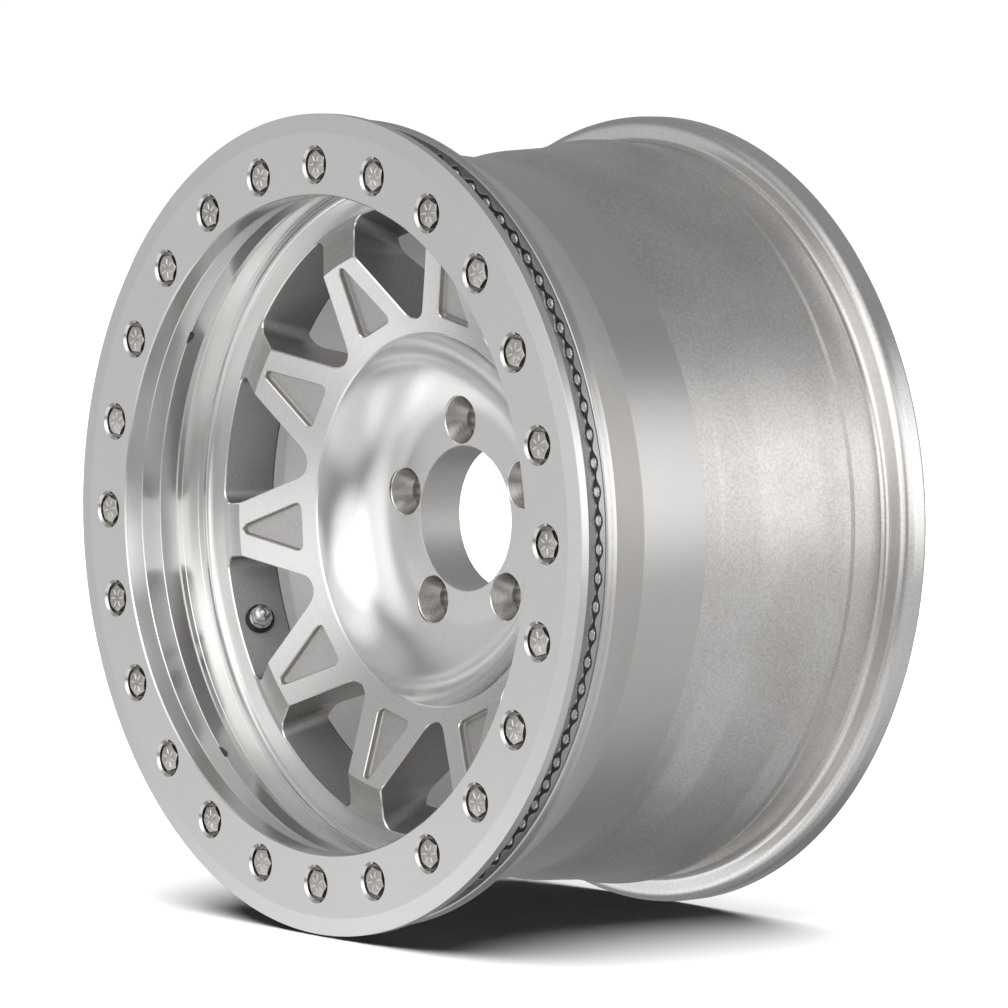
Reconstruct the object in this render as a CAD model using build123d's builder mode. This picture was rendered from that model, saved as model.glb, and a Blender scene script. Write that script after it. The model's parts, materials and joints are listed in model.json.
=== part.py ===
"""Forged seventeen inch off-road wheel with a bolted bead lock ring and its tyre valve.

The wheel spins about the Y axis. Zero on Y is the mounting face that sits on the
hub, the street side is towards -Y, and +Z is up as the wheel stands. Angles round
the wheel are measured from +X towards +Z. Depths are measured inwards from the
front face of the ring, which is how the wheel is machined and inspected.
"""

import os
from math import asin, atan2, cos, degrees, radians, sin, tan

from build123d import *

os.makedirs("parts", exist_ok=True)

# Driving sizes: the radii follow the bead seat and the depths follow the width
face_to_hub = 139.0
wheel_width = 255.0
bead_seat_radius = 218.3
barrel_wall = 9.0

# Margin by which a cutting tool passes beyond the surface it opens
overrun = 6.0
cut_overlap = 1.0

# Ring bolts
bolt_count = 24
bolt_circle_inset = 14.3
bolt_circle_radius = bead_seat_radius - bolt_circle_inset
bolt_first_angle = 90.0
bolt_shank_radius = 4.76
bolt_head_across_flats = 14.3
bolt_head_height = 6.2
bolt_head_recess = 1.0
bolt_tip_chamfer = 0.9
bolt_turn_step = 37.0
hex_repeat = 60.0
washer_margin = 2.6
washer_radius = bolt_head_across_flats / 2 + washer_margin
washer_thickness = 1.6
washer_clearance = 0.45
bolt_hole_clearance = 0.34
counterbore_chamfer = 0.6
thread_clearance = 0.04

# Bead lock ring
ring_flange_height = 14.5
ring_outer_radius = bead_seat_radius + ring_flange_height
ring_bore_margin = 17.3
ring_bore_radius = bolt_circle_radius - ring_bore_margin
ring_throat_step = 0.5
ring_throat_radius = ring_bore_radius - ring_throat_step
ring_throat_depth = 12.2
ring_bevel_run = 10.4
ring_bevel_radius = ring_outer_radius - ring_bevel_run
ring_bevel_drop = 1.2
ring_rim_corner = 1.1
ring_rim_edge = 0.275
ring_flange_back = 7.0
ring_bore_bevel = 0.8
ring_root_fillet = 1.6
pilot_clearance = 0.3

# Joint between ring and wheel
joint_depth = 28.7
joint_margin = 12.2
joint_inner_radius = bolt_circle_radius - joint_margin
pilot_margin = 11.2
pilot_radius = bolt_circle_radius + pilot_margin
pilot_height = 7.3
bead_wall_depth = joint_depth - pilot_height
bead_wall_corner = 1.4

# Shallow annular groove that carries the grip pattern under the tyre bead
grip_inset = 2.3
grip_inner_radius = pilot_radius + grip_inset
grip_width = 9.1
grip_outer_radius = grip_inner_radius + grip_width
grip_margin = 3.2
bead_wall_radius = grip_outer_radius + grip_margin
grip_depth = 1.0

# Threaded inserts in the wheel
insert_wall = 1.64
insert_radius = bolt_shank_radius + insert_wall
insert_recess = 0.8
insert_depth = joint_depth + insert_recess
insert_length = 14.5
insert_end_depth = insert_depth + insert_length
insert_clearance = 0.05
bolt_end_stand = 1.0
bolt_end_depth = insert_end_depth + bolt_end_stand
drill_tip_room = 3.0
drill_end_depth = bolt_end_depth + drill_tip_room

# Drain slots across the joint
drain_radius = 4.2
drain_first_angle = 47.5
drain_second_angle = 147.5

# Barrel, outside, from front to rear
bead_wall_thickness = 7.1
flare_start_depth = bead_wall_depth + bead_wall_thickness
flare_length = 32.9
flare_end_depth = flare_start_depth + flare_length
flare_end_inset = 4.7
flare_end_radius = bead_seat_radius - flare_end_inset
machined_length = 34.6
machined_end_depth = flare_end_depth + machined_length
machined_fall = 3.6
machined_end_radius = flare_end_radius - machined_fall
forging_step = 0.6
well_fall = 2.4
well_radius = machined_end_radius - well_fall
well_lead = 17.0
well_start_depth = machined_end_depth + well_lead
well_floor = 12.0
well_end_depth = well_start_depth + well_floor
shoulder_inset = 5.1
shoulder_radius = bead_seat_radius - shoulder_inset
shoulder_run = 23.0
shoulder_depth = well_end_depth + shoulder_run
well_blend = 22.0

# Rear bead seat, hump and flange, from the rear edge forwards
rear_flange_height = 15.6
rear_lip_radius = bead_seat_radius + rear_flange_height
rear_flange_length = 18.0
rear_wall_depth = wheel_width - rear_flange_length
rear_wall_lean = 1.2
rear_seat_width = 23.5
hump_foot_depth = rear_wall_depth - rear_seat_width
hump_height = 1.6
hump_fall = 4.5
hump_end_depth = hump_foot_depth - hump_fall
hump_top = 5.0
hump_start_depth = hump_end_depth - hump_top
hump_lead = 12.0
rear_run_depth = hump_start_depth - hump_lead
rear_run_inset = 2.1
rear_run_radius = bead_seat_radius - rear_run_inset
seat_root_fillet = 4.5
rear_lip_curl = 8.0
rear_lip_edge = 3.2

# Barrel, inside, from rear to front
rear_mouth_width = 11.4
rear_mouth_radius = rear_lip_radius - rear_mouth_width
rear_mouth_fillet = 4.0
rear_mouth_length = 13.0
rear_taper_depth = wheel_width - rear_mouth_length
inner_blend = 10.0
tunnel_inset = 19.3
tunnel_radius = bead_seat_radius - tunnel_inset
tunnel_lead = 1.0
tunnel_depth = well_end_depth + tunnel_lead

# Inner lip between the joint and the spokes
lip_step_length = 12.1
lip_step_depth = joint_depth + lip_step_length
lip_step_flare = 0.6
lip_step_radius = joint_inner_radius + lip_step_flare
lip_bevel_length = 3.5
lip_bevel_depth = lip_step_depth + lip_bevel_length
lip_bevel_height = 2.8
lip_bevel_radius = lip_step_radius + lip_bevel_height
lip_wall_length = 16.3
lip_root_depth = lip_bevel_depth + lip_wall_length
lip_wall_flare = 1.8
lip_root_radius = lip_bevel_radius + lip_wall_flare
lip_root_fillet = 4.0
lip_floor_width = 14.0
lip_edge_radius = lip_root_radius - lip_floor_width
lip_floor_fall = 9.1
lip_edge_depth = lip_root_depth + lip_floor_fall

# Spoke faces
spoke_count = 10
spoke_first_angle = 4.5
facet_width = 4.5
facet_radius = lip_edge_radius - facet_width
facet_rise = 0.7
facet_depth = lip_edge_depth - facet_rise
spoke_rise_width = 20.4
bend_radius = facet_radius - spoke_rise_width
spoke_rise = 6.0
bend_depth = facet_depth - spoke_rise
spoke_half_width = 15.9
spoke_flare_width = 0.5
spoke_outer_half_width = spoke_half_width + spoke_flare_width
spoke_flare = 0.328
bowl_edge_radius = 107.7
spoke_fall = 19.9
bowl_edge_depth = bend_depth + spoke_fall
bowl_flat_radius = 61.0
hub_thickness = 30.0
hub_face_depth = face_to_hub - hub_thickness

# Back of the spokes
back_edge_margin = 4.3
back_edge_radius = bowl_edge_radius + back_edge_margin
pad_radius = 80.0
pad_relief = 2.0
spoke_thickness = 25.9
back_crest_depth = lip_edge_depth + spoke_thickness

# Windows between the spokes
window_inner_fillet = 11.0
window_crease_fillet = 7.0
window_margin = 1.1
window_front_radius = lip_edge_radius - window_margin
window_front_rise = 0.1
window_front_depth = lip_edge_depth - window_front_rise
window_wall_fall = 11.9
window_back_radius = window_front_radius - window_wall_fall
window_back_rise = 0.9
window_back_depth = back_crest_depth - window_back_rise
crest_margin = 1.6
back_crest_radius = window_back_radius - crest_margin

# Triangular pockets in the spoke faces
pocket_tip_margin = 2.0
pocket_tip_radius = bend_radius - pocket_tip_margin
pocket_base_margin = 10.0
pocket_base_radius = bowl_edge_radius + pocket_base_margin
pocket_web = 2.5
pocket_base_half_width = spoke_half_width - pocket_web
pocket_depth = 4.0
pocket_corner = 3.0
pocket_floor_fillet = 1.2

# Hub mounting
centre_bore_radius = 42.0
centre_bore_chamfer = 0.5
lug_count = 5
lug_circle_radius = 57.15
lug_first_angle = 22.5
lug_hole_radius = 7.75
lug_seat_height = 6.55
lug_front_radius = lug_hole_radius + lug_seat_height
lug_seat_half_angle = 30.0

# Tyre valve
valve_angle = 202.5
valve_depth_margin = 11.9
valve_depth = lip_edge_depth + valve_depth_margin
valve_hole_radius = 5.65
valve_wall = 31.0
slip_clearance = 0.05
stem_hole_room = 1.5
stem_radius = valve_hole_radius - stem_hole_room
thread_height = 0.3
stem_outer_radius = stem_radius - thread_height
stem_flange_margin = 2.85
stem_flange_radius = valve_hole_radius + stem_flange_margin
stem_flange_thickness = 4.0
stem_flange_round = 1.5
stem_bore_radius = 2.2
seal_margin = 3.0
seal_radius = valve_hole_radius + seal_margin
seal_thickness = 3.5
seal_sleeve_length = 5.5
seal_round = 0.9
valve_seat_margin = 1.35
valve_seat_radius = seal_radius + valve_seat_margin
valve_seat_depth = 0.5
inner_seat_margin = 2.5
valve_inner_seat_radius = stem_flange_radius + inner_seat_margin
inner_seal_thickness = 2.5
inner_seal_inset = 0.3
inner_seal_radius = stem_flange_radius - inner_seal_inset
nut_wall = 1.9
nut_across_flats = 2 * (stem_outer_radius + nut_wall)
nut_height = 5.0
nut_edge_chamfer = 0.4
nut_to_cap = 0.6
valve_washer_margin = 1.0
valve_washer_radius = nut_across_flats / 2 + valve_washer_margin
valve_washer_thickness = 1.2
nut_top = seal_thickness - valve_seat_depth + valve_washer_thickness + nut_height
stem_above_nut = 3.8
stem_end = nut_top + stem_above_nut

# Valve cap
cap_wall = 0.4
cap_thread_clearance = 0.1
cap_across_flats = 2 * (stem_outer_radius + cap_thread_clearance + cap_wall)
cap_corner_height = 0.3
cap_radius = cap_across_flats / 2 + cap_corner_height
cap_shoulder_height = 2.2
cap_shoulder = stem_end + cap_shoulder_height
cap_tip_height = 1.8
cap_tip = cap_shoulder + cap_tip_height
cap_tip_radius = 2.25
cap_seal_thickness = 0.9
cap_seal_bore = 1.4

# Valve core
core_clearance = 0.04
core_collar_height = 0.3
core_radius = stem_bore_radius + core_collar_height
core_nose_room = 0.5
core_nose_radius = stem_bore_radius - core_nose_room
core_pin_radius = 0.75
core_pin_room = 0.25
core_guide_radius = core_pin_radius + core_pin_room
core_shoulder = -4.0
core_nose_length = 5.0
core_bottom = core_shoulder - core_nose_length
core_recess = 0.4
core_top = stem_end - core_recess
core_wall = 0.6
core_chamber_radius = core_radius - core_wall
collar_room = 3.0
collar_top = core_top - collar_room
collar_height = 0.8
collar_gap = 0.35
collar_radius = core_chamber_radius - collar_gap
core_cover = 1.0
pin_stand = 0.3
pin_top = core_top + pin_stand
core_seal_thickness = 1.4
core_seal_inset = 0.05
core_seal_radius = core_nose_radius - core_seal_inset
poppet_thickness = 1.6
spring_wire_radius = 0.22
spring_turns = 5.0


def station(depth):
    """Return the Y coordinate of a point this deep behind the ring's front face."""
    return depth - face_to_hub


def turned(shape, angle):
    """Return the shape, made along +X, carried round the wheel to the given angle."""
    return shape.rotate(Axis.Y, -angle)


def ring_of(shape, count, first_angle):
    """Return the copies of a shape spaced evenly round the wheel."""
    return [turned(shape, first_angle + index * 360 / count) for index in range(count)]


# Wheel, one forging: barrel, spokes and centre
bowl_depth = hub_face_depth - bowl_edge_depth
bowl_run = bowl_edge_radius - bowl_flat_radius
bowl_radius = (bowl_run**2 + bowl_depth**2) / (2 * bowl_depth)
bowl_middle = radians(45) + atan2(bowl_radius - bowl_depth, bowl_run) / 2
bowl_centre_depth = hub_face_depth - bowl_radius
bowl_arc_radius = bowl_flat_radius + bowl_radius * cos(bowl_middle)
bowl_arc_depth = bowl_centre_depth + bowl_radius * sin(bowl_middle)
insert_bore_radius = insert_radius + insert_clearance
drill_radius = bolt_shank_radius + bolt_hole_clearance

section_corners = [
    (bowl_edge_radius, station(bowl_edge_depth), 0),
    (bend_radius, station(bend_depth), 0),
    (facet_radius, station(facet_depth), 0),
    (lip_edge_radius, station(lip_edge_depth), 0),
    (lip_root_radius, station(lip_root_depth), lip_root_fillet),
    (lip_bevel_radius, station(lip_bevel_depth), 0),
    (lip_step_radius, station(lip_step_depth), 0),
    (joint_inner_radius, station(joint_depth), 0),
    (pilot_radius, station(joint_depth), 0),
    (pilot_radius, station(bead_wall_depth), 0),
    (grip_inner_radius, station(bead_wall_depth), 0),
    (grip_inner_radius, station(bead_wall_depth + grip_depth), 0),
    (grip_outer_radius, station(bead_wall_depth + grip_depth), 0),
    (grip_outer_radius, station(bead_wall_depth), 0),
    (bead_wall_radius, station(bead_wall_depth), bead_wall_corner),
    (bead_wall_radius, station(flare_start_depth), bead_wall_corner),
    (flare_end_radius, station(flare_end_depth), 0),
    (machined_end_radius, station(machined_end_depth), 0),
    (machined_end_radius - forging_step, station(machined_end_depth + forging_step), 0),
    (well_radius, station(well_start_depth), well_blend),
    (well_radius, station(well_end_depth), well_blend),
    (shoulder_radius, station(shoulder_depth), well_blend),
    (rear_run_radius, station(rear_run_depth), well_blend),
    (bead_seat_radius + hump_height, station(hump_start_depth), hump_height),
    (bead_seat_radius + hump_height, station(hump_end_depth), hump_height),
    (bead_seat_radius, station(hump_foot_depth), hump_height),
    (bead_seat_radius, station(rear_wall_depth), seat_root_fillet),
    (rear_lip_radius, station(rear_wall_depth + rear_wall_lean), rear_lip_curl),
    (rear_lip_radius, station(wheel_width), rear_lip_edge),
    (rear_mouth_radius, station(wheel_width), rear_mouth_fillet),
    (bead_seat_radius - barrel_wall, station(rear_taper_depth), inner_blend),
    (rear_run_radius - barrel_wall, station(rear_run_depth), inner_blend),
    (shoulder_radius - barrel_wall, station(shoulder_depth), inner_blend),
    (tunnel_radius, station(tunnel_depth), inner_blend),
    (back_crest_radius, station(back_crest_depth), 0),
    (back_edge_radius, station(face_to_hub - pad_relief), 0),
    (pad_radius, station(face_to_hub - pad_relief), 0),
    (pad_radius, 0, 0),
    (centre_bore_radius + centre_bore_chamfer, 0, 0),
    (centre_bore_radius, -centre_bore_chamfer, 0),
    (centre_bore_radius, station(hub_face_depth + centre_bore_chamfer), 0),
    (centre_bore_radius + centre_bore_chamfer, station(hub_face_depth), 0),
    (bowl_flat_radius, station(hub_face_depth), 0),
]

with BuildPart() as wheel:
    with BuildSketch(Plane.XY):
        with BuildLine():
            FilletPolyline(
                *[(radius, y) for radius, y, _ in section_corners],
                radius=[fillet_radius for _, _, fillet_radius in section_corners[1:-1]],
            )
            ThreePointArc(
                (bowl_flat_radius, station(hub_face_depth)),
                (bowl_arc_radius, station(bowl_arc_depth)),
                (bowl_edge_radius, station(bowl_edge_depth)),
            )
        make_face()
    revolve(axis=Axis.Y)

# Window outline between two spokes, drawn about +X
half_pitch = radians(180 / spoke_count)
wall_slope = (window_front_radius - window_back_radius) / (
    window_back_depth - window_front_depth
)
wall_angle = degrees(atan2(wall_slope, 1))
inner_half_width = spoke_half_width + spoke_flare * (bend_radius - bowl_edge_radius)
outer_run = window_front_radius + 2 * overrun


def beside_spoke(along, half_width):
    """Return a window corner from its place along, and off, the next spoke's axis."""
    return (
        along * cos(half_pitch) + half_width * sin(half_pitch),
        along * sin(half_pitch) - half_width * cos(half_pitch),
    )


inner_corner = beside_spoke(bowl_edge_radius, inner_half_width)
bend_corner = beside_spoke(bend_radius, spoke_half_width)
outer_corner = beside_spoke(outer_run, spoke_outer_half_width)
side_slope = (bend_corner[1] - inner_corner[1]) / (bend_corner[0] - inner_corner[0])
window_apex = inner_corner[0] - inner_corner[1] / side_slope
front_cut = station(bend_depth - 2 * overrun)
blend_depth = window_back_depth + overrun / 2
blend_radius = window_back_radius - wall_slope * overrun / 2

with BuildPart() as window_front:
    with BuildSketch(Plane.XZ.offset(-station(blend_depth))):
        with BuildLine():
            Polyline(
                (window_apex, 0),
                bend_corner,
                outer_corner,
                (outer_corner[0], -outer_corner[1]),
                (bend_corner[0], -bend_corner[1]),
                close=True,
            )
        make_face()
    extrude(amount=station(blend_depth) - front_cut)
    with BuildSketch(Plane.XY):
        with BuildLine():
            Polyline(
                (0, station(blend_depth)),
                (blend_radius, station(blend_depth)),
                (blend_radius + wall_slope * (station(blend_depth) - front_cut), front_cut),
                (0, front_cut),
                close=True,
            )
        make_face()
    revolve(axis=Axis.Y, mode=Mode.INTERSECT)
    axial_edges = window_front.edges().sort_by(Axis.X)
    fillet(axial_edges[0], window_inner_fillet)
    crease_edges = window_front.edges().filter_by(
        lambda edge: edge.center().X > bend_corner[0] + overrun
        and abs(edge.center().Z) > bend_corner[1]
        and edge.bounding_box().size.Y > overrun
    )
    fillet(crease_edges, window_crease_fillet)

with BuildPart() as window_rear:
    with BuildSketch(Plane.XZ.offset(-station(face_to_hub + overrun))):
        with BuildLine():
            Polyline(
                (window_apex, 0),
                bend_corner,
                outer_corner,
                (outer_corner[0], -outer_corner[1]),
                (bend_corner[0], -bend_corner[1]),
                close=True,
            )
        make_face()
        Circle(blend_radius, mode=Mode.INTERSECT)
    extrude(amount=face_to_hub + overrun - blend_depth + cut_overlap)
    axial_edges = window_rear.edges().filter_by(Axis.Y).sort_by(Axis.X)
    fillet(axial_edges[0], window_inner_fillet)
    fillet(axial_edges[-2:], window_crease_fillet)

with BuildPart() as window:
    add(window_front.part)
    add(window_rear.part)

# Pocket in a spoke face, drawn about +X on the plane of the face
face_slope = (bowl_edge_depth - bend_depth) / (bend_radius - bowl_edge_radius)
face_angle = atan2(face_slope, 1)
pocket_middle = (pocket_tip_radius + pocket_base_radius) / 2
pocket_y = station(bend_depth + face_slope * (bend_radius - pocket_middle))
face_plane = Plane(
    origin=(pocket_middle, pocket_y, 0),
    x_dir=(cos(face_angle), -sin(face_angle), 0),
    z_dir=(-sin(face_angle), -cos(face_angle), 0),
)
pocket_reach = (pocket_tip_radius - pocket_base_radius) / (2 * cos(face_angle))

with BuildPart() as pocket:
    with BuildSketch(face_plane.offset(-pocket_depth)):
        with BuildLine():
            Polyline(
                (pocket_reach + pocket_corner, 0),
                (-pocket_reach, pocket_base_half_width),
                (-pocket_reach, -pocket_base_half_width),
                close=True,
            )
        make_face()
        fillet(vertices(), pocket_corner)
    extrude(amount=pocket_depth + overrun)
    floor = pocket.faces().filter_by(lambda f: f.is_planar).sort_by(Axis.Y)[-1]
    fillet(floor.edges(), pocket_floor_fillet)

# Lug hole with its conical nut seat
lug_seat_length = (lug_front_radius - lug_hole_radius) / tan(radians(lug_seat_half_angle))
with BuildPart() as lug_hole:
    with BuildSketch(Plane.XY):
        with BuildLine():
            Polyline(
                (lug_circle_radius, station(bowl_edge_depth)),
                (lug_circle_radius + lug_front_radius, station(bowl_edge_depth)),
                (lug_circle_radius + lug_front_radius, station(hub_face_depth)),
                (
                    lug_circle_radius + lug_hole_radius,
                    station(hub_face_depth + lug_seat_length),
                ),
                (lug_circle_radius + lug_hole_radius, overrun),
                (lug_circle_radius, overrun),
                close=True,
            )
        make_face()
    revolve(axis=Axis((lug_circle_radius, 0, 0), (0, 1, 0)))

# Bore for one threaded insert, with the drilled relief under it
with BuildPart() as insert_bore:
    with BuildSketch(Plane.XZ.offset(-station(insert_end_depth))):
        with Locations((bolt_circle_radius, 0)):
            Circle(insert_bore_radius)
    extrude(amount=insert_end_depth - joint_depth + overrun)
    with BuildSketch(Plane.XZ.offset(-station(drill_end_depth))):
        with Locations((bolt_circle_radius, 0)):
            Circle(drill_radius)
    extrude(amount=drill_end_depth - insert_end_depth)

# Drain slot, half round, from the lip to the bolt circle
with BuildPart() as drain:
    with BuildSketch(Plane.YZ.offset(joint_inner_radius - overrun)):
        with Locations((station(joint_depth), 0)):
            Circle(drain_radius)
    extrude(amount=bolt_circle_radius - joint_inner_radius + overrun)

# Valve hole along the normal of the window's outer wall
valve_wall_radius = window_front_radius - wall_slope * (valve_depth - window_front_depth)
valve_lean = radians(wall_angle)
valve_turn = radians(valve_angle)
valve_axis = Vector(
    -cos(valve_lean) * cos(valve_turn),
    -sin(valve_lean),
    -cos(valve_lean) * sin(valve_turn),
)
valve_plane = Plane(
    origin=(
        valve_wall_radius * cos(valve_turn),
        station(valve_depth),
        valve_wall_radius * sin(valve_turn),
    ),
    x_dir=(-sin(valve_turn), 0, cos(valve_turn)),
    z_dir=valve_axis,
)
valve_section = Plane(
    origin=valve_plane.origin,
    x_dir=valve_plane.x_dir,
    z_dir=valve_plane.x_dir.cross(valve_axis),
)
valve_line = Axis(valve_plane.origin, valve_axis)

with BuildPart() as valve_hole:
    with BuildSketch(valve_plane.offset(-valve_wall - overrun)):
        Circle(valve_hole_radius)
    extrude(amount=valve_wall + 2 * overrun)
    with BuildSketch(valve_plane.offset(-valve_seat_depth)):
        Circle(valve_seat_radius)
    extrude(amount=overrun)
    with BuildSketch(valve_plane.offset(-valve_wall)):
        Circle(valve_inner_seat_radius)
    extrude(amount=-3 * overrun)

with wheel:
    add(ring_of(window.part, spoke_count, spoke_first_angle + 180 / spoke_count), mode=Mode.SUBTRACT)
    add(ring_of(pocket.part, spoke_count, spoke_first_angle), mode=Mode.SUBTRACT)
    add(ring_of(lug_hole.part, lug_count, lug_first_angle), mode=Mode.SUBTRACT)
    add(ring_of(insert_bore.part, bolt_count, bolt_first_angle), mode=Mode.SUBTRACT)
    add(ring_of(drain.part, 2, drain_first_angle), mode=Mode.SUBTRACT)
    add(ring_of(drain.part, 2, drain_second_angle), mode=Mode.SUBTRACT)
    add(valve_hole.part, mode=Mode.SUBTRACT)
wheel.part.label = "wheel"
export_step(wheel.part, "parts/wheel.step")

# Bead lock ring with its counterbored bolt holes
counterbore_radius = washer_radius + washer_clearance
counterbore_depth = bolt_head_recess + bolt_head_height + washer_thickness
boss_radius = pilot_radius - pilot_clearance

with BuildPart() as beadlock_ring:
    with BuildSketch(Plane.XY):
        with BuildLine():
            FilletPolyline(
                (ring_bore_radius + ring_bore_bevel, station(0)),
                (ring_bevel_radius, station(0)),
                (ring_outer_radius, station(ring_bevel_drop)),
                (ring_outer_radius, station(ring_flange_back)),
                (boss_radius, station(ring_flange_back)),
                (boss_radius, station(joint_depth)),
                (joint_inner_radius, station(joint_depth)),
                (ring_throat_radius, station(ring_throat_depth)),
                (ring_bore_radius, station(ring_bore_bevel)),
                radius=[0, 0, ring_rim_edge, ring_rim_corner, ring_root_fillet, 0, 0, 0, 0],
                close=True,
            )
        make_face()
    revolve(axis=Axis.Y)

with BuildPart() as ring_hole:
    with BuildSketch(Plane.XZ.offset(-station(joint_depth + overrun))):
        with Locations((bolt_circle_radius, 0)):
            Circle(drill_radius)
    extrude(amount=joint_depth + 2 * overrun)
    with BuildSketch(Plane.XZ.offset(-station(counterbore_depth))):
        with Locations((bolt_circle_radius, 0)):
            Circle(counterbore_radius)
    extrude(amount=counterbore_depth)
    with BuildSketch(Plane.XZ.offset(-station(counterbore_chamfer))):
        with Locations((bolt_circle_radius, 0)):
            Circle(counterbore_radius)
    extrude(amount=2 * counterbore_chamfer, taper=-45)

with beadlock_ring:
    add(ring_of(ring_hole.part, bolt_count, bolt_first_angle), mode=Mode.SUBTRACT)
beadlock_ring.part.label = "beadlock_ring"
export_step(beadlock_ring.part, "parts/beadlock_ring.step")

# Washers under the bolt heads
with BuildPart() as washer:
    with BuildSketch(Plane.XZ.offset(-station(counterbore_depth))):
        with Locations((bolt_circle_radius, 0)):
            Circle(washer_radius)
            Circle(drill_radius, mode=Mode.SUBTRACT)
    extrude(amount=washer_thickness)

with BuildPart() as ring_washers:
    add(ring_of(washer.part, bolt_count, bolt_first_angle))
ring_washers.part.label = "ring_washers"
export_step(ring_washers.part, "parts/ring_washers.step")

# Threaded inserts that take the ring bolts
with BuildPart() as insert:
    with BuildSketch(Plane.XZ.offset(-station(insert_end_depth))):
        with Locations((bolt_circle_radius, 0)):
            Circle(insert_radius)
            Circle(bolt_shank_radius + thread_clearance, mode=Mode.SUBTRACT)
    extrude(amount=insert_end_depth - insert_depth)

with BuildPart() as thread_inserts:
    add(ring_of(insert.part, bolt_count, bolt_first_angle))
thread_inserts.part.label = "thread_inserts"
export_step(thread_inserts.part, "parts/thread_inserts.step")

# Ring bolts, one solid each
head_seat_depth = bolt_head_recess + bolt_head_height
head_corner_radius = bolt_head_across_flats / 2 / cos(radians(30))
head_crown = head_corner_radius - bolt_head_across_flats / 2

for index in range(bolt_count):
    with BuildPart() as head_envelope:
        with BuildSketch(Plane.XZ.offset(-station(head_seat_depth))):
            Circle(head_corner_radius)
        extrude(amount=bolt_head_height)
        chamfer(head_envelope.edges().sort_by(Axis.Y)[0], head_crown / 2, head_crown)
    with BuildPart() as ring_bolt:
        with BuildSketch(Plane.XZ.offset(-station(head_seat_depth))):
            RegularPolygon(
                bolt_head_across_flats / 2,
                6,
                major_radius=False,
                rotation=(index * bolt_turn_step) % hex_repeat,
            )
        extrude(amount=bolt_head_height)
        add(head_envelope.part, mode=Mode.INTERSECT)
        with BuildSketch(Plane.XZ.offset(-station(bolt_end_depth))):
            Circle(bolt_shank_radius)
        extrude(amount=bolt_end_depth - head_seat_depth)
        chamfer(ring_bolt.edges().sort_by(Axis.Y)[-1], bolt_tip_chamfer)
    bolt_angle = bolt_first_angle + index * 360 / bolt_count
    placed = turned(ring_bolt.part.moved(Location((bolt_circle_radius, 0, 0))), bolt_angle)
    placed.label = f"ring_bolt_{index + 1:02d}"
    export_step(placed, f"parts/ring_bolt_{index + 1:02d}.step")

# Valve stem, clamped through the wheel wall, with its flange on the tyre side
stem_bottom = -valve_wall - inner_seal_thickness - stem_flange_thickness
flange_top = -valve_wall - inner_seal_thickness
seal_bottom = -valve_seat_depth
seal_top = seal_bottom + seal_thickness
washer_top = seal_top + valve_washer_thickness
cap_bottom = nut_top + nut_to_cap
core_bore_radius = core_radius + core_clearance

with BuildPart() as valve_stem:
    with BuildSketch(valve_section):
        with BuildLine():
            Polyline(
                (stem_bore_radius, stem_bottom),
                (stem_flange_radius - stem_flange_round, stem_bottom),
                (stem_flange_radius, stem_bottom + stem_flange_round),
                (stem_flange_radius, flange_top),
                (stem_radius, flange_top),
                (stem_radius, seal_bottom),
                (stem_outer_radius, seal_bottom + (stem_radius - stem_outer_radius)),
                (stem_outer_radius, stem_end),
                (core_bore_radius, stem_end),
                (core_bore_radius, core_shoulder),
                (stem_bore_radius, core_shoulder),
                close=True,
            )
        make_face()
    revolve(axis=valve_line)
valve_stem.part.label = "valve_stem"
export_step(valve_stem.part, "parts/valve_stem.step")

# Rubber grommet under the nut, with a sleeve down the hole
with BuildPart() as valve_outer_seal:
    with BuildSketch(valve_section):
        with BuildLine():
            Polyline(
                (stem_radius + slip_clearance, seal_bottom - seal_sleeve_length),
                (valve_hole_radius - slip_clearance, seal_bottom - seal_sleeve_length),
                (valve_hole_radius - slip_clearance, seal_bottom),
                (seal_radius, seal_bottom),
                (seal_radius, seal_top - seal_round),
                (seal_radius - seal_round, seal_top),
                (stem_radius + slip_clearance, seal_top),
                close=True,
            )
        make_face()
    revolve(axis=valve_line)
valve_outer_seal.part.label = "valve_outer_seal"
export_step(valve_outer_seal.part, "parts/valve_outer_seal.step")

# Rubber ring between the stem flange and the tyre side of the wall
with BuildPart() as valve_inner_seal:
    with BuildSketch(valve_plane.offset(flange_top)):
        Circle(inner_seal_radius)
        Circle(stem_radius + slip_clearance, mode=Mode.SUBTRACT)
    extrude(amount=inner_seal_thickness)
valve_inner_seal.part.label = "valve_inner_seal"
export_step(valve_inner_seal.part, "parts/valve_inner_seal.step")

# Washer and nut that draw the stem tight
with BuildPart() as valve_washer:
    with BuildSketch(valve_plane.offset(seal_top)):
        Circle(valve_washer_radius)
        Circle(stem_outer_radius + slip_clearance, mode=Mode.SUBTRACT)
    extrude(amount=valve_washer_thickness)
valve_washer.part.label = "valve_washer"
export_step(valve_washer.part, "parts/valve_washer.step")

nut_corner_radius = nut_across_flats / 2 / cos(radians(30))
with BuildPart() as nut_envelope:
    with BuildSketch(valve_plane.offset(washer_top)):
        Circle(nut_corner_radius)
    extrude(amount=nut_height)
    chamfer(nut_envelope.edges().filter_by(GeomType.CIRCLE), nut_edge_chamfer)

with BuildPart() as valve_nut:
    with BuildSketch(valve_plane.offset(washer_top)):
        RegularPolygon(nut_across_flats / 2, 6, major_radius=False)
        Circle(stem_outer_radius + slip_clearance, mode=Mode.SUBTRACT)
    extrude(amount=nut_height)
    add(nut_envelope.part, mode=Mode.INTERSECT)
valve_nut.part.label = "valve_nut"
export_step(valve_nut.part, "parts/valve_nut.step")

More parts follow.
